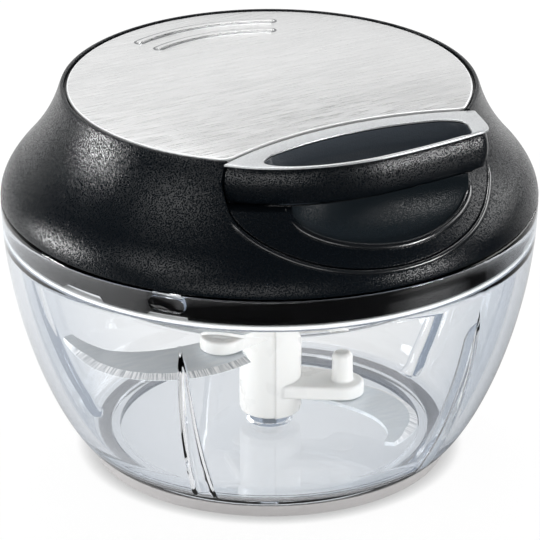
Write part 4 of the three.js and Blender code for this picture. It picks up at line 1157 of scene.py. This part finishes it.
def embossLoop(values, radius, inset):
    half = math.radians(values["embossSweep"]) / 2
    middle = math.radians(values["embossAngle"])
    width = values["embossWidth"] / 2 - inset
    ends = [middle - half, middle + half]
    loop = arcPoints((0, 0), radius + width, ends[0], ends[1], 48)
    far = (radius * math.cos(ends[1]), radius * math.sin(ends[1]))
    loop += arcPoints(far, width, ends[1], ends[1] + math.pi, 12)[1:]
    loop += arcPoints((0, 0), radius - width, ends[1], ends[0], 48)[1:]
    near = (radius * math.cos(ends[0]), radius * math.sin(ends[0]))
    return loop + arcPoints(near, width, ends[0] + math.pi, ends[0] + fullTurn, 12)[1:-1]


def makePlate(values):
    low, fold = values["bottom"], values["fold"]
    high = low + values["thickness"]
    steps = [(0, low), (0, high - fold)]
    steps += [(back, high - down) for back, down in quarterRound(fold, coarseAngles[1:])]
    loops = [[(x, y, z) for x, y in plateLoop(values, inset)] for inset, z in steps]
    parts = [meshPiece("plateSheet", *loopStack(loops), 40)]
    height, foot, (side, top) = values["embossHeight"], values["embossFoot"], values["embossEdge"]
    slopes = [(0, -0.2), (0.02, 0), foot, (side, height - 0.05), (top, height)]
    for radius in values["embossRadii"]:
        loops = [[(x, y, high + z) for x, y in embossLoop(values, radius, inset)] for inset, z in slopes]
        parts.append(meshPiece("plateArc", *loopStack(loops), 4))
    plate = joined("topPlate", parts)
    addFinishes(plate, "plate", "paintedRimHighlight", "paintedCreaseShade")
    for face in plate.data.polygons:
        # the folded rim's faces take the paler steel of the painted highlight
        onRim = abs(face.normal.z) <= 0.995 and face.center.z < (high + 0.01) * mm
        # the low strip round each arc's foot takes the darker steel, a painted shade in the crease
        inPaintedCreaseShade = (high + 0.005) * mm < face.center.z < (high + 0.06) * mm
        face.material_index = 2 if inPaintedCreaseShade else int(onRim)
    return dress(plate, "lid", None, "brushed_plate", "top_plate")


makePlate(plateValues)
print("steel plate made")


baseValues = {
    "skirtRadius": 64.0,
    "skirtInner": 60.8,
    "skirtLow": 60.6,
    "skirtHigh": 67.5,
    "floor": (63.0, 65.0),  # its lower and upper side
    "sleeve": (9.9, 11.9, 76.55),  # inner and outer radius, and top
    "trackDepth": 1.8,
    "lockTurn": 22,
    "notchTurn": 12.6,
    "notchOffset": -21.5,
    "notchHeight": 1.4,
    "slide": 0.5,
}


def sectorSolid(name, inner, outer, start, end, low, high):
    steps = max(int(abs(end - start) / math.radians(1)), 4)
    outline = arcPoints((0, 0), outer, start, end, steps) + arcPoints((0, 0), inner, end, start, steps)
    return meshPiece(name, *prismUp(outline, low, high))


def makeLidBase(values):
    inner, outer = values["skirtInner"], values["skirtRadius"]
    low, high = values["skirtLow"], values["skirtHigh"]
    floor, floorTop = values["floor"]
    sleeveInner, sleeveOuter, sleeveTop = values["sleeve"]
    profile = [(sleeveInner, floor), (inner - 0.4, floor), (inner, floor - 0.4), (inner, low + 0.2)]
    profile += [(inner + 0.2, low), (outer - 0.25, low), (outer, low + 0.25), (outer, high), (inner, high)]
    profile += [(inner, floorTop)]
    profile += [(sleeveOuter, floorTop), (sleeveOuter, sleeveTop), (sleeveInner, sleeveTop)]
    base = meshPiece("lidBase", *revolved(profile, 240))
    deep = outer - values["trackDepth"]
    lugHalf = (bowlValues["lugWidth"] / 2 + values["slide"]) / deep
    level, height = bowlValues["lugLevel"], bowlValues["lugHeight"] / 2 + values["slide"]
    start = lugAngle - lugHalf
    entry = sectorSolid("entry", deep, outer + 3, start, lugAngle + lugHalf, low - 3, level + height)
    end = lugAngle + lugHalf + math.radians(values["lockTurn"])
    track = sectorSolid("track", deep, outer + 3, start, end, level - height, level + height)
    middle = lugAngle + math.radians(values["notchOffset"])
    wide = math.radians(values["notchTurn"]) / 2 * outer
    notchHeight = values["notchHeight"]
    narrow, notchTop = wide - notchHeight, low + notchHeight
    outline = [(-wide - 3, low - 3), (wide + 3, low - 3), (narrow, notchTop), (-narrow, notchTop)]
    points, faces = prismForward(outline, inner - 3, outer + 3)
    notch = meshPiece("notch", turned(points, middle + math.pi / 2), faces)
    for cutter in (entry, track, notch):
        carve(base, repeated(cutter, lugCount), sharpAngle=28)
    return dress(base, "lid", "skirt", "black_plastic", "lid_base")


makeLidBase(baseValues)
print("lid base made")


handleValues = {
    "halfWidth": 34.6,
    "rear": 31.9,
    "front": 53.9,
    "rearRadius": 85,
    "frontRadius": 200,
    "low": 86.0,
    "high": 95.3,
    "round": 0.8,
    "crown": 0.95,
    "trimLow": 95.5,
    "trimHigh": 96.0,
    "band": (4.5, 6.2),  # width of the ring behind the slot, at its top and lower down
    "strip": (1.1, 1.9),  # and in front of it
    "slotHalfWidth": 29.0,
    "slotMiddle": 44.5,
    "slopeShare": 0.42,
    "gripRight": [[(0.8, 0.87), (0.936, 0.845), (0.928, 0.77), (1, 0.085)]],
    "gripLeft": [[(0, 1), (0.405, 0.952), (0.78, 0.597), (1, 0)]],
    "slotRight": [
        [(0.82, 0.97), (0.93, 0.958), (0.93, 0.836), (0.966, 0.66)],
        [(0.966, 0.66), (1.01, 0.48), (0.985, 0.35), (0.81, 0.21)],
    ],
    "slotLeft": [
        [(0, 1), (0.414, 0.982), (0.776, 0.733), (0.869, 0.497)],
        [(0.869, 0.497), (0.91, 0.394), (0.883, 0.321), (0.759, 0.19)],
    ],
    "knotPocket": (2.2, 90.4, 33.4, 36.8),  # half width, top, and how far forward it starts and ends
    "cordBore": (1.7, 88.2, 28, 33.7),  # radius, level, and how far forward it starts and ends
    "points": 300,
}


def arcForward(middle, radius, across):
    return middle + radius - math.sqrt(radius * radius - across * across)


def bulgeForward(middle, radius, across):
    return middle - radius + math.sqrt(radius * radius - across * across)


def sideCurves(corners, side, half, near, front, frontRadius, rear, rearRadius):
    # one side of the handle from the front round to the rear, its ends on the front and the rear arc
    places = [[(side * half * a, -mix(near, front, b)) for a, b in corner] for corner in corners]
    across = places[0][0][0]
    places[0][0] = (across, -bulgeForward(front, frontRadius, across))
    across = places[-1][-1][0]
    places[-1][-1] = (across, -arcForward(rear, rearRadius, across))
    points = bezier(places[0], 24)
    for corner in places[1:]:
        points += bezier(corner, 24)[1:]
    return [(p.x, p.y) for p in points]


def handleLoop(right, left, front, frontRadius, rear, rearRadius):
    # from the front's middle over the right side, the rear and the left side
    loop = []
    for i in range(24):
        across = right[0][0] * i / 24
        loop.append((across, -bulgeForward(front, frontRadius, across)))
    loop += right
    for i in range(1, 60):
        across = mix(right[-1][0], left[-1][0], i / 60)
        loop.append((across, -arcForward(rear, rearRadius, across)))
    return loop + left[:0:-1]


def gripLoop(values):
    half, front, rear, radius = values["halfWidth"], values["front"], values["rear"], values["rearRadius"]
    near = arcForward(rear, radius, half)
    arcs = (front, values["frontRadius"], rear, radius)
    right = sideCurves(values["gripRight"], 1, half, near, *arcs)
    left = sideCurves(values["gripLeft"], -1, half, near, *arcs)
    return handleLoop(right, left, *arcs)


def slotLoop(values, band, strip):
    half, front, rear = values["slotHalfWidth"], values["front"] - strip, values["rear"] + band
    arcs = (front, values["frontRadius"], rear, values["rearRadius"] - band)
    right = sideCurves(values["slotRight"], 1, half, rear, *arcs)
    left = sideCurves(values["slotLeft"], -1, half, rear, *arcs)
    return handleLoop(right, left, *arcs)


def ringPiece(name, outer, inner, sharpAngle=40):
    # outer and inner are loops from the bottom up, which are joined at the top and the bottom
    loops = outer + inner[::-1]
    return meshPiece(name, [point for loop in loops for point in loop], loopFaces(loops, True), sharpAngle)


def levelled(loop, inset, level, count):
    return [(x, y, level) for x, y in resampled(shifted(loop, inset, True), count)]


def makeHandle(values):
    count = values["points"]
    outline = [Vector(p) for p in gripLoop(values)]
    low, high, edge = values["low"], values["high"], values["round"]
    middle, half = (low + high) / 2, (high - low) / 2
    outer = [(back, low + down) for down, back in quarterRound(edge)]
    outer += [(0.0, mix(low + edge, high - 0.3, i / 8)) for i in range(1, 9)]
    outer += [(0.08, high - 0.08), (0.3, high)]
    crowned = [(inset + values["crown"] * ((z - middle) / half) ** 2, z) for inset, z in outer]
    rings = [levelled(outline, inset, z, count) for inset, z in crowned]
    bend = high - (high - low) * values["slopeShare"]
    wide = slotLoop(values, values["band"][1], values["strip"][1])
    inner = [levelled(wide, -back, low + down, count) for down, back in quarterRound(edge)]
    for i in range(5):
        inner.append(levelled(wide, 0, mix(low + edge, bend - 0.6, (i + 1) / 5), count))
    for i in range(1, 9):
        share = i / 8
        eased = share * share * (1.6 - 0.6 * share)
        band = mix(values["band"][1], values["band"][0], eased)
        strip = mix(values["strip"][1], values["strip"][0], eased)
        inner.append(levelled(slotLoop(values, band, strip), 0, mix(bend - 0.3, high, share), count))
    grip = ringPiece("handleGrip", rings, inner)
    side, top, near, far = values["knotPocket"]
    pocket = [(-side, low - 3), (side, low - 3), (side, top), (-side, top)]
    carve(grip, meshPiece("knotPocket", *prismForward(pocket, near, far)), sharpAngle=40)
    radius, level, near, far = values["cordBore"]
    bore = [(x, level + z) for x, z in circlePoints((0, 0), radius, 32)]
    carve(grip, meshPiece("cordBore", *prismForward(bore, near, far)), sharpAngle=40)
    grip.data.materials.clear()
    addFinishes(grip, "grip", "slot")
    # the slot's inner walls take the lighter copy of the black, painted as if lit
    for polygon in grip.data.polygons:
        inwards = Vector((0, -values["slotMiddle"] * mm, middle * mm)) - polygon.center
        polygon.material_index = 1 if inwards.dot(polygon.normal) > 0 and abs(polygon.normal.z) < 0.8 else 0
    dress(grip, "handle", None, "black_plastic", "handle_grip")
    low, high = values["trimLow"], values["trimHigh"]
    opening = slotLoop(values, values["band"][0], values["strip"][0])
    steps = [(0, low), (0, high - 0.25), (0.07, high - 0.07), (0.25, high)]
    outer = [levelled(outline, inset, z, count) for inset, z in steps]
    inner = [levelled(opening, -inset, z, count) for inset, z in steps]
    trim = ringPiece("handleTrim", outer, inner)
    return dress(trim, "handle", "silver", "silver_plastic", "handle_trim")


makeHandle(handleValues)
print("handle made")


hubValues = {
    "radius": 8.0,
    "step": 0.45,
    "stepAngle": 252,
    "low": 9.1,
    "high": 59.0,
    "edge": 0.8,
    "bushHole": (3.7, 18.2),  # radius and top
    "pinHole": (2.4, 20.0),
    "tang": (9.6, 3.4, 68.4),  # width, thickness and top
}

armValues = {
    "rootWidth": 14,
    "endRadius": 5.4,
    "thickness": 3.4,
    "edge": 0.8,
    "rivetCircle": 18.5,
    "rivetRadius": 1.8,
    "rivetHead": (3.2, 1.0),  # radius and height
    "bossRadius": 2.65,
    "bossHeight": 7.6,
    "bossRound": 1.3,
}

bladeValues = {
    "levels": (13.4, 22.2, 31.0),
    "reaches": (44.5, 48.9, 52.2),
    "nodes": ("blade_low", "blade_middle", "blade_high"),
    "firstAngle": 283,
    "stepAngle": 120,
    "armLead": 38,
    "thickness": 1.0,
    "bevel": 2.0,
    "edgeShares": [(0.17, 0.365), (0.42, 0.55), (0.9, 0.56), (1, 0)],
    "backShares": [(0.955, -0.03), (0.8, 0.24), (0.55, 0.22), (0.2, 0.08)],
    "bend": 7,
    "bendLean": -27,
    "bendShare": 0.67,
    "rivetHole": 2.1,
    "hubHole": 8.3,
    "steps": 56,
}


def hubColumn(values):
    # a moulded column whose two halves differ by a small step, as its tool parts there
    start, radius = math.radians(values["stepAngle"]), values["radius"]
    steps = 96
    radii = [(start + math.pi * i / steps, radius) for i in range(steps + 1)]
    radii += [(start + math.pi + math.pi * i / steps, radius - values["step"]) for i in range(steps + 1)]
    bushRadius, bushTop = values["bushHole"]
    pinRadius, pinTop = values["pinHole"]
    rows = [(pinRadius, pinTop, False), (pinRadius, bushTop, False), (bushRadius, bushTop, False)]
    rows += [(bushRadius, values["low"], False)]
    edge = quarterRound(values["edge"], coarseAngles)
    rows += [(back, values["low"] + down, True) for down, back in edge]
    rows += [(back, values["high"] - down, True) for back, down in edge]
    loops = []
    for size, level, outside in rows:
        ring = [(a, r - size if outside else size) for a, r in radii]
        loops.append([(r * math.cos(a), r * math.sin(a), level) for a, r in ring])
    return meshPiece("hubColumn", *loopStack(loops), 30)


def armParts(level, angle, values):
    # tongue with a rounded end, its boss and its rivet
    reach, radius, root = values["rivetCircle"], values["endRadius"], values["rootWidth"] / 2
    lean = math.asin((root - radius) / reach)
    base = level + bladeValues["thickness"] + 0.3
    top = base + values["thickness"]
    loops = []
    rows = [(0.25, base), (0.0, base + 0.25)]
    rows += [(back, top - down) for back, down in quarterRound(values["edge"])]
    for inset, z in rows:
        rounded = arcPoints((reach, 0), radius - inset, -math.pi / 2 + lean, math.pi / 2 - lean, 36)
        loop = [(1.0, -root + inset)] + rounded + [(1.0, root - inset)]
        loops.append([(x, y, z) for x, y in loop])
    points, faces = loopStack(loops)
    parts = [meshPiece("armTongue", turned(points, angle), faces)]
    thick, bossTop = values["bossRadius"], top + values["bossHeight"]
    boss = [(0, base + 1), (thick + 0.7, top - 0.1), (thick + 0.2, top + 0.25), (thick, top + 0.9)]
    boss += [(thick - 0.1 - back, bossTop - down) for back, down in quarterRound(values["bossRound"])]
    boss += [(0, bossTop)]
    head, height = values["rivetHead"]
    low = level - 0.3
    rivet = [(0, low - height), (head - 0.6, low - height), (head - 0.1, low - height + 0.35), (head, low)]
    rivet += [(values["rivetRadius"], low), (values["rivetRadius"], base + 1), (0, base + 1)]
    for name, profile in (("armBoss", boss), ("armRivet", rivet)):
        points, faces = revolved(profile, 48, False)
        moved = [(x + reach, y, z) for x, y, z in points]
        parts.append(meshPiece(name, turned(moved, angle), faces))
    return parts


def makeHub():
    parts = [hubColumn(hubValues)]
    width, thickness, top = hubValues["tang"]
    rows = [(0, hubValues["high"] - 1), (0, top - 0.5), (0.15, top - 0.15), (0.5, top)]
    loops = []
    for inset, z in rows:
        loops.append([(x, y, z) for x, y in stadium(width - 2 * inset, thickness - 2 * inset, 14)])
    parts.append(meshPiece("hubTang", *loopStack(loops)))
    for i, level in enumerate(bladeValues["levels"]):
        angle = bladeValues["firstAngle"] + bladeValues["stepAngle"] * i + bladeValues["armLead"]
        parts += armParts(level, math.radians(angle), armValues)
    return dress(joined("bladeHub", parts), "blade_unit", "white", "white_plastic", "blade_hub")


def bendUp(mesh, angle, line, rise):
    # everything past a line across the blade is bent up there, with a crisp crease
    across = Vector((math.cos(angle), math.sin(angle), 0))
    slope = math.tan(math.radians(rise))
    with edited(mesh) as work:
        whole = work.verts[:] + work.edges[:] + work.faces[:]
        bmesh.ops.bisect_plane(work, geom=whole, plane_co=across * line * mm, plane_no=across)
        for vertex in work.verts:
            vertex.co.z += slope * max(vertex.co.dot(across) - line * mm, 0)
    markEdges(mesh, 7)


def makeBlade(i, values):
    reach, level = values["reaches"][i], values["levels"][i]
    angle = math.radians(values["firstAngle"] + values["stepAngle"] * i)
    edge = bezier([(reach * a, reach * b) for a, b in values["edgeShares"]], values["steps"])
    back = bezier([(reach * a, reach * b) for a, b in values["backShares"]], values["steps"] // 2)
    ground = shifted(edge, -values["bevel"])
    ground[-1] = edge[-1]
    last = len(edge) - 1
    for k in range(last - 8, last):  # the bevel runs out at the tip
        ground[k] = edge[k].lerp(ground[k], min((last - k) / 8, 1))
    thick = values["thickness"]
    lower = [(p.x, p.y, level) for p in edge + back]
    upper = [(p.x, p.y, level + thick) for p in ground + back]
    lip = [(p.x, p.y, level + 0.08) for p in edge]
    points, count = lower + upper + lip, len(lower)
    start = 2 * count
    faces = [list(range(count))[::-1], [count + k for k in range(count)]]
    for k in range(last):
        faces.append((k, k + 1, start + k + 1, start + k))
    for k in range(last + 1, count - 1):
        faces.append((k, k + 1, count + k + 1, count + k))
    faces.append((last, last + 1, count + last + 1, count + last, start + last))
    faces.append((count - 1, 0, start, count, 2 * count - 1))
    groundStart = len(faces)
    for k in range(last):
        faces.append((start + k, start + k + 1, count + k + 1, count + k))
    mesh = bpy.data.meshes.new("blade")
    mesh.from_pydata([[c * mm for c in p] for p in turned(points, angle)], [], faces)
    uv = mesh.uv_layers.new(name="alongEdge")
    lengths = distances(edge)
    for face in mesh.polygons[groundStart:]:
        face.material_index = 1
        for corner in face.loop_indices:
            vertex = mesh.loops[corner].vertex_index
            k = vertex - start if vertex >= start else vertex - count
            across = 0 if vertex >= start else values["bevel"]
            uv.data[corner].uv = (lengths[k] * mm, across * mm)
    blade = newObject(values["nodes"][i].replace("_", "") + "Steel", mesh)
    addFinishes(blade, "blade", "edge")
    lead = math.radians(values["armLead"]) + angle
    spot = (armValues["rivetCircle"] * math.cos(lead), armValues["rivetCircle"] * math.sin(lead))
    rivet, hub = circlePoints(spot, values["rivetHole"], 40), circlePoints((0, 0), values["hubHole"], 64)
    for name, outline in (("rivetHole", rivet), ("hubHole", hub)):
        carve(blade, meshPiece(name, *prismUp(outline, level - 2, level + 3)))
    lean = angle + math.radians(values["bendLean"])
    bendUp(blade.data, lean, values["bendShare"] * reach, values["bend"])
    return dress(blade, "blade_unit", None, "blade_steel", values["nodes"][i])


makeHub()
for bladeIndex in range(3):
    makeBlade(bladeIndex, bladeValues)
print("blade unit made")


windingValues = {
    "cordWinding": {
        "tree": {
            "Steps": 160,
            "Turns": -3.25,
            "Start angle": 3.8726,
            "Start radius": 16.3 * mm,
            "End radius": 16.3 * mm,
            "Start level": 88.2 * mm,
            "End level": 79.75 * mm,
            "Width": 2.0 * mm,
            "Height": 2.0 * mm,
        },
        "strip": False,
        "finish": "cord",
        "slot": "cord_fibre",
        "node": "cord_winding",
    },
    "recoilSpring": {
        "tree": {
            "Steps": 420,
            "Turns": 6.0,
            "Start angle": 0.0,
            "Start radius": 12.7 * mm,
            "End radius": 22.2 * mm,
            "Start level": 73.55 * mm,
            "End level": 73.55 * mm,
            "Width": 0.6 * mm,
            "Height": 6.0 * mm,
        },
        "strip": True,
        "finish": "spring",
        "slot": "plain_steel",
        "node": "recoil_spring",
    },
}

screwValues = {
    "sizes": {
        "Head radius": 2.8 * mm,
        "Head height": 1.6 * mm,
        "Shank radius": 1.5 * mm,
        "Length": 13 * mm,
        "Slot width": 0.8 * mm,
        "Slot depth": 0.9 * mm,
    },
    "level": 62.7,
    "circle": 44,
    "baseAngles": (35, 145, 190, 350),
    "wellSpots": ((-14, -44), (14, -44)),
}


def makeWinding(name, values):
    seed = meshPiece(name, [(0, 0, 0)], [])
    tree = windingTree(name + "Tree", values["strip"])
    piece = runTree(seed, tree, {**values["tree"], "Material": finish[values["finish"]]})
    with edited(piece.data) as work:
        bmesh.ops.recalc_face_normals(work, faces=work.faces)
    return dress(piece, "reel", values["finish"], values["slot"], values["node"])


def makeScrews(values):
    spots = []
    for angle in values["baseAngles"]:
        a = math.radians(angle)
        spots.append((values["circle"] * math.cos(a), values["circle"] * math.sin(a), values["level"]))
    spots += [(x, y, values["level"]) for x, y in values["wellSpots"]]
    seed = meshPiece("lidScrews", spots, [])
    screws = runTree(seed, screwTree(), {**values["sizes"], "Material": finish["steel"]})
    nodes = [f"base_screw_{i}" for i in (1, 2, 3, 4)] + ["well_screw_1", "well_screw_2"]
    return dress(screws, "lid", "steel", "plain_steel", *nodes)


for pieceName, pieceValues in windingValues.items():
    makeWinding(pieceName, pieceValues)
makeScrews(screwValues)
print("windings and screws made")


# the cord from the reel to the grip
leadValues = {
    "radius": 1.0,
    "level": 88.2,
    "coilRadius": 16.3,
    "bend": 24.4,
    "bendReach": 4,
    "stretchStart": 29.5,
    "stretchEnd": 33.0,
    "end": 34.0,
    "rings": 60,
}


def leadPath(values):
    bend = values["bend"]
    angle = 1.5 * math.pi - math.acos(values["coilRadius"] / bend)
    leave = Vector((values["coilRadius"] * math.cos(angle), values["coilRadius"] * math.sin(angle)))
    corner = Vector((0, -bend))
    along = (corner - leave).normalized()
    before, after = corner - along * values["bendReach"], corner + Vector((0, -values["bendReach"]))
    path = [leave.lerp(before, i / 8) for i in range(8)]
    path += [before.lerp(corner, t / 10).lerp(corner.lerp(after, t / 10), t / 10) for t in range(10)]
    last = Vector((0, -values["end"]))
    path += [after.lerp(last, i / values["rings"]) for i in range(values["rings"] + 1)]
    return path


def makeLead(values):
    path, sides = leadPath(values), 12
    loops = []
    for i, point in enumerate(path):
        along = (path[min(i + 1, len(path) - 1)] - path[max(i - 1, 0)]).normalized()
        across = Vector((-along.y, along.x))
        loop = []
        for k in range(sides):
            a = fullTurn * k / sides
            spot = point + across * values["radius"] * math.cos(a)
            loop.append((spot.x, spot.y, values["level"] + values["radius"] * math.sin(a)))
        loops.append(loop)
    lead = meshPiece("cordLead", *loopStack(loops), 60)
    addFinishes(lead, "cord")
    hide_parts("cord_lead")
    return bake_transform(lead)


makeLead(leadValues)
print("cord made")


# CAD nodes that keep their own mesh
nodeFinishes = {
    "reel_axle": "steel",
    "cord_guide": "steel",
    "cord_knot": "steel",
    "reel": "nylon",
    "spring_cover": "nylon",
}

for nodeName, finishName in nodeFinishes.items():
    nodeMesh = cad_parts[nodeName].data
    nodeMesh.materials.clear()
    nodeMesh.materials.append(finish[finishName])
print("kept nodes finished")


stageValues = {
    "floor": "#fdfdfd",
    "floorGlow": 0.93,  # how much of the floor's white is its own for the camera, the rest takes the shadow
    "contact": (0.55, 0.72, 0.006),  # how white the floor is at the foot, how open, and how wide the shadow
    "ambient": (0.66, 1.5),  # on the outside, and on what the clear bowl holds
    "reflectedPatch": (0.14, -0.21, 0.035, 0.09),  # place, inner and outer radius of a white patch that only reflections see, which paints a highlight on the grip's front, in metres
    "ceiling": 0.1,  # what reflections see of the white walls straight overhead
    "wallTop": (0.5, 0.85),  # sine of the elevations between which the walls fade
    "wallSide": 160,  # azimuths of the wall and the floor that reflections see white
    "floorSide": 178,
    "dark": 0.02,  # what reflections see of the wall and the floor on the camera's side
    # cosines, from the bright side, between which the walls darken, in reflections and through the bowl
    "wallTurn": ((0.6, 0.9), (-0.3, 0.2)),
    # metres towards the bright side between which the floor darkens, in reflections and through the bowl
    "floorTurn": ((-0.06, 0.1), (-0.1, -0.04)),
}

lampValues = {
    "leftBox": {"azimuth": -126, "elevation": 6, "distance": 1.0, "size": (0.26, 0.22), "power": 6.2},
    "shoulderBox": {"azimuth": -78, "elevation": 30, "distance": 1.0, "size": (0.4, 0.3), "power": 1.3},
    "sideBox": {"azimuth": 94, "elevation": 24, "distance": 1.0, "size": (0.9, 0.5), "power": 4.2},
    "gripBox": {"azimuth": 36, "elevation": 4, "distance": 1.0, "size": (0.26, 0.14), "power": 3.4},
    "topBox": {"azimuth": 150, "elevation": 67, "distance": 1.1, "size": (0.5, 0.4), "power": 4.6},
    "backBox": {"azimuth": -172, "elevation": 52, "distance": 1.1, "size": (0.6, 0.6), "power": 1.8},
    "fillBox": {"azimuth": -40, "elevation": 4, "distance": 0.9, "size": (0.9, 0.2), "power": 1.4},
}


def cameraSide(tree, rays, vector, values, name):
    # from dark on the camera's side to one on the bright side
    far = direction(values[name + "Side"], 0)
    along = addNode(tree, "ShaderNodeVectorMath", (vector, far), operation="DOT_PRODUCT")
    dark, turns = values["dark"], values[name + "Turn"]
    mirrored, through = [addNode(tree, "ShaderNodeMapRange", (along, *ends, dark, 1.0)) for ends in turns]
    return addNode(tree, "ShaderNodeMix", {0: rays["Is Transmission Ray"], 2: mirrored, 3: through})


def onlyReflected(tree, rays, value):
    # one for every ray that isn't a reflection
    return addNode(tree, "ShaderNodeMix", {0: rays["Is Glossy Ray"], 2: 1.0, 3: value})


def seenRays(tree, rays):
    inputs = (rays["Is Camera Ray"], rays["Is Transmission Ray"])
    seen = addNode(tree, "ShaderNodeMath", inputs, operation="MAXIMUM")
    return addNode(tree, "ShaderNodeMath", (seen, rays["Is Glossy Ray"]), operation="MAXIMUM")


def makeFloor(values):
    far = 4000
    corners = [(-far, -far, 0), (far, -far, 0), (far, far, 0), (-far, far, 0)]
    floor = meshPiece("floor", corners, [(0, 1, 2, 3)])
    inputs = {"Roughness": 0.9, "Specular IOR Level": 0.0}
    material, tree, shader = newMaterial("paleFloor", values["floor"], inputs)
    rays = addNode(tree, "ShaderNodeLightPath").outputs
    inputs = (seenRays(tree, rays), values["floorGlow"])
    share = addNode(tree, "ShaderNodeMath", inputs, operation="MULTIPLY")
    least, openness, reach = values["contact"]
    # painted contact shadow: the floor's own white darkens near the foot, by ambient occlusion
    nearby = addNode(tree, "ShaderNodeAmbientOcclusion", {"Distance": reach}, samples=16).outputs["AO"]
    shaded = addNode(tree, "ShaderNodeMapRange", (nearby, 0.3, openness, least, 1.0))
    others = addNode(tree, "ShaderNodeMath", (1.0, rays["Is Camera Ray"]), operation="SUBTRACT")
    strength = addNode(tree, "ShaderNodeMath", (shaded, others), operation="MAXIMUM")
    glow = addNode(tree, "ShaderNodeEmission", ((1, 1, 1, 1), strength))
    both = addNode(tree, "ShaderNodeMixShader", (share, shader, glow))
    # painted reflection: reflections see the floor dark on the camera's side, but for the white patch
    spot = addNode(tree, "ShaderNodeTexCoord").outputs["Object"]
    x, y, inner, outer = values["reflectedPatch"]
    away = addNode(tree, "ShaderNodeVectorMath", (spot, (x, y, 0)), operation="DISTANCE")
    reflectedPatch = addNode(tree, "ShaderNodeMapRange", (away, inner, outer, 1.0, 0.0))
    white = (cameraSide(tree, rays, spot, values, "floor"), reflectedPatch)
    white = onlyReflected(tree, rays, addNode(tree, "ShaderNodeMath", white, operation="MAXIMUM"))
    black = addNode(tree, "ShaderNodeEmission", ((0, 0, 0, 1), 0.0))
    whole = addNode(tree, "ShaderNodeMixShader", (white, black, both))
    setInputs(tree, tree.nodes["Material Output"], {"Surface": whole})
    floor.data.materials.append(material)


def makeWorld(values):
    world = bpy.data.worlds.new("studio")
    bpy.context.scene.world = world
    world.use_nodes = True
    tree = world.node_tree
    tree.nodes.clear()
    rays = addNode(tree, "ShaderNodeLightPath").outputs
    towards = addNode(tree, "ShaderNodeTexCoord").outputs["Generated"]
    rise = addNode(tree, "ShaderNodeSeparateXYZ", (towards,)).outputs["Z"]
    walls = addNode(tree, "ShaderNodeMapRange", (rise, *values["wallTop"], 1.0, values["ceiling"]))
    side = cameraSide(tree, rays, towards, values, "wall")
    walls = addNode(tree, "ShaderNodeMath", (walls, side), operation="MULTIPLY")
    held = addNode(tree, "ShaderNodeMapRange", (rays["Transparent Depth"], 0, 1, *values["ambient"]))
    plain = addNode(tree, "ShaderNodeBackground", ((1, 1, 1, 1), held))
    white = addNode(tree, "ShaderNodeBackground", ((1, 1, 1, 1), onlyReflected(tree, rays, walls)))
    both = addNode(tree, "ShaderNodeMixShader", (seenRays(tree, rays), plain, white))
    addNode(tree, "ShaderNodeOutputWorld", {"Surface": both})


def makeLamp(name, values):
    lamp = newObject(name, bpy.data.lights.new(name, "AREA"))
    back = direction(values["azimuth"], values["elevation"])
    standAt(lamp, back, values["distance"], Vector((0, 0, 0.05)))
    lamp.data.shape = "RECTANGLE"
    lamp.data.size, lamp.data.size_y = values["size"]
    lamp.data.energy = values["power"]


makeFloor(stageValues)
makeWorld(stageValues)
for lampName, lampSizes in lampValues.items():
    makeLamp(lampName, lampSizes)
bpy.context.scene.view_settings.view_transform = "Standard"
print("floor, world and lamps made")
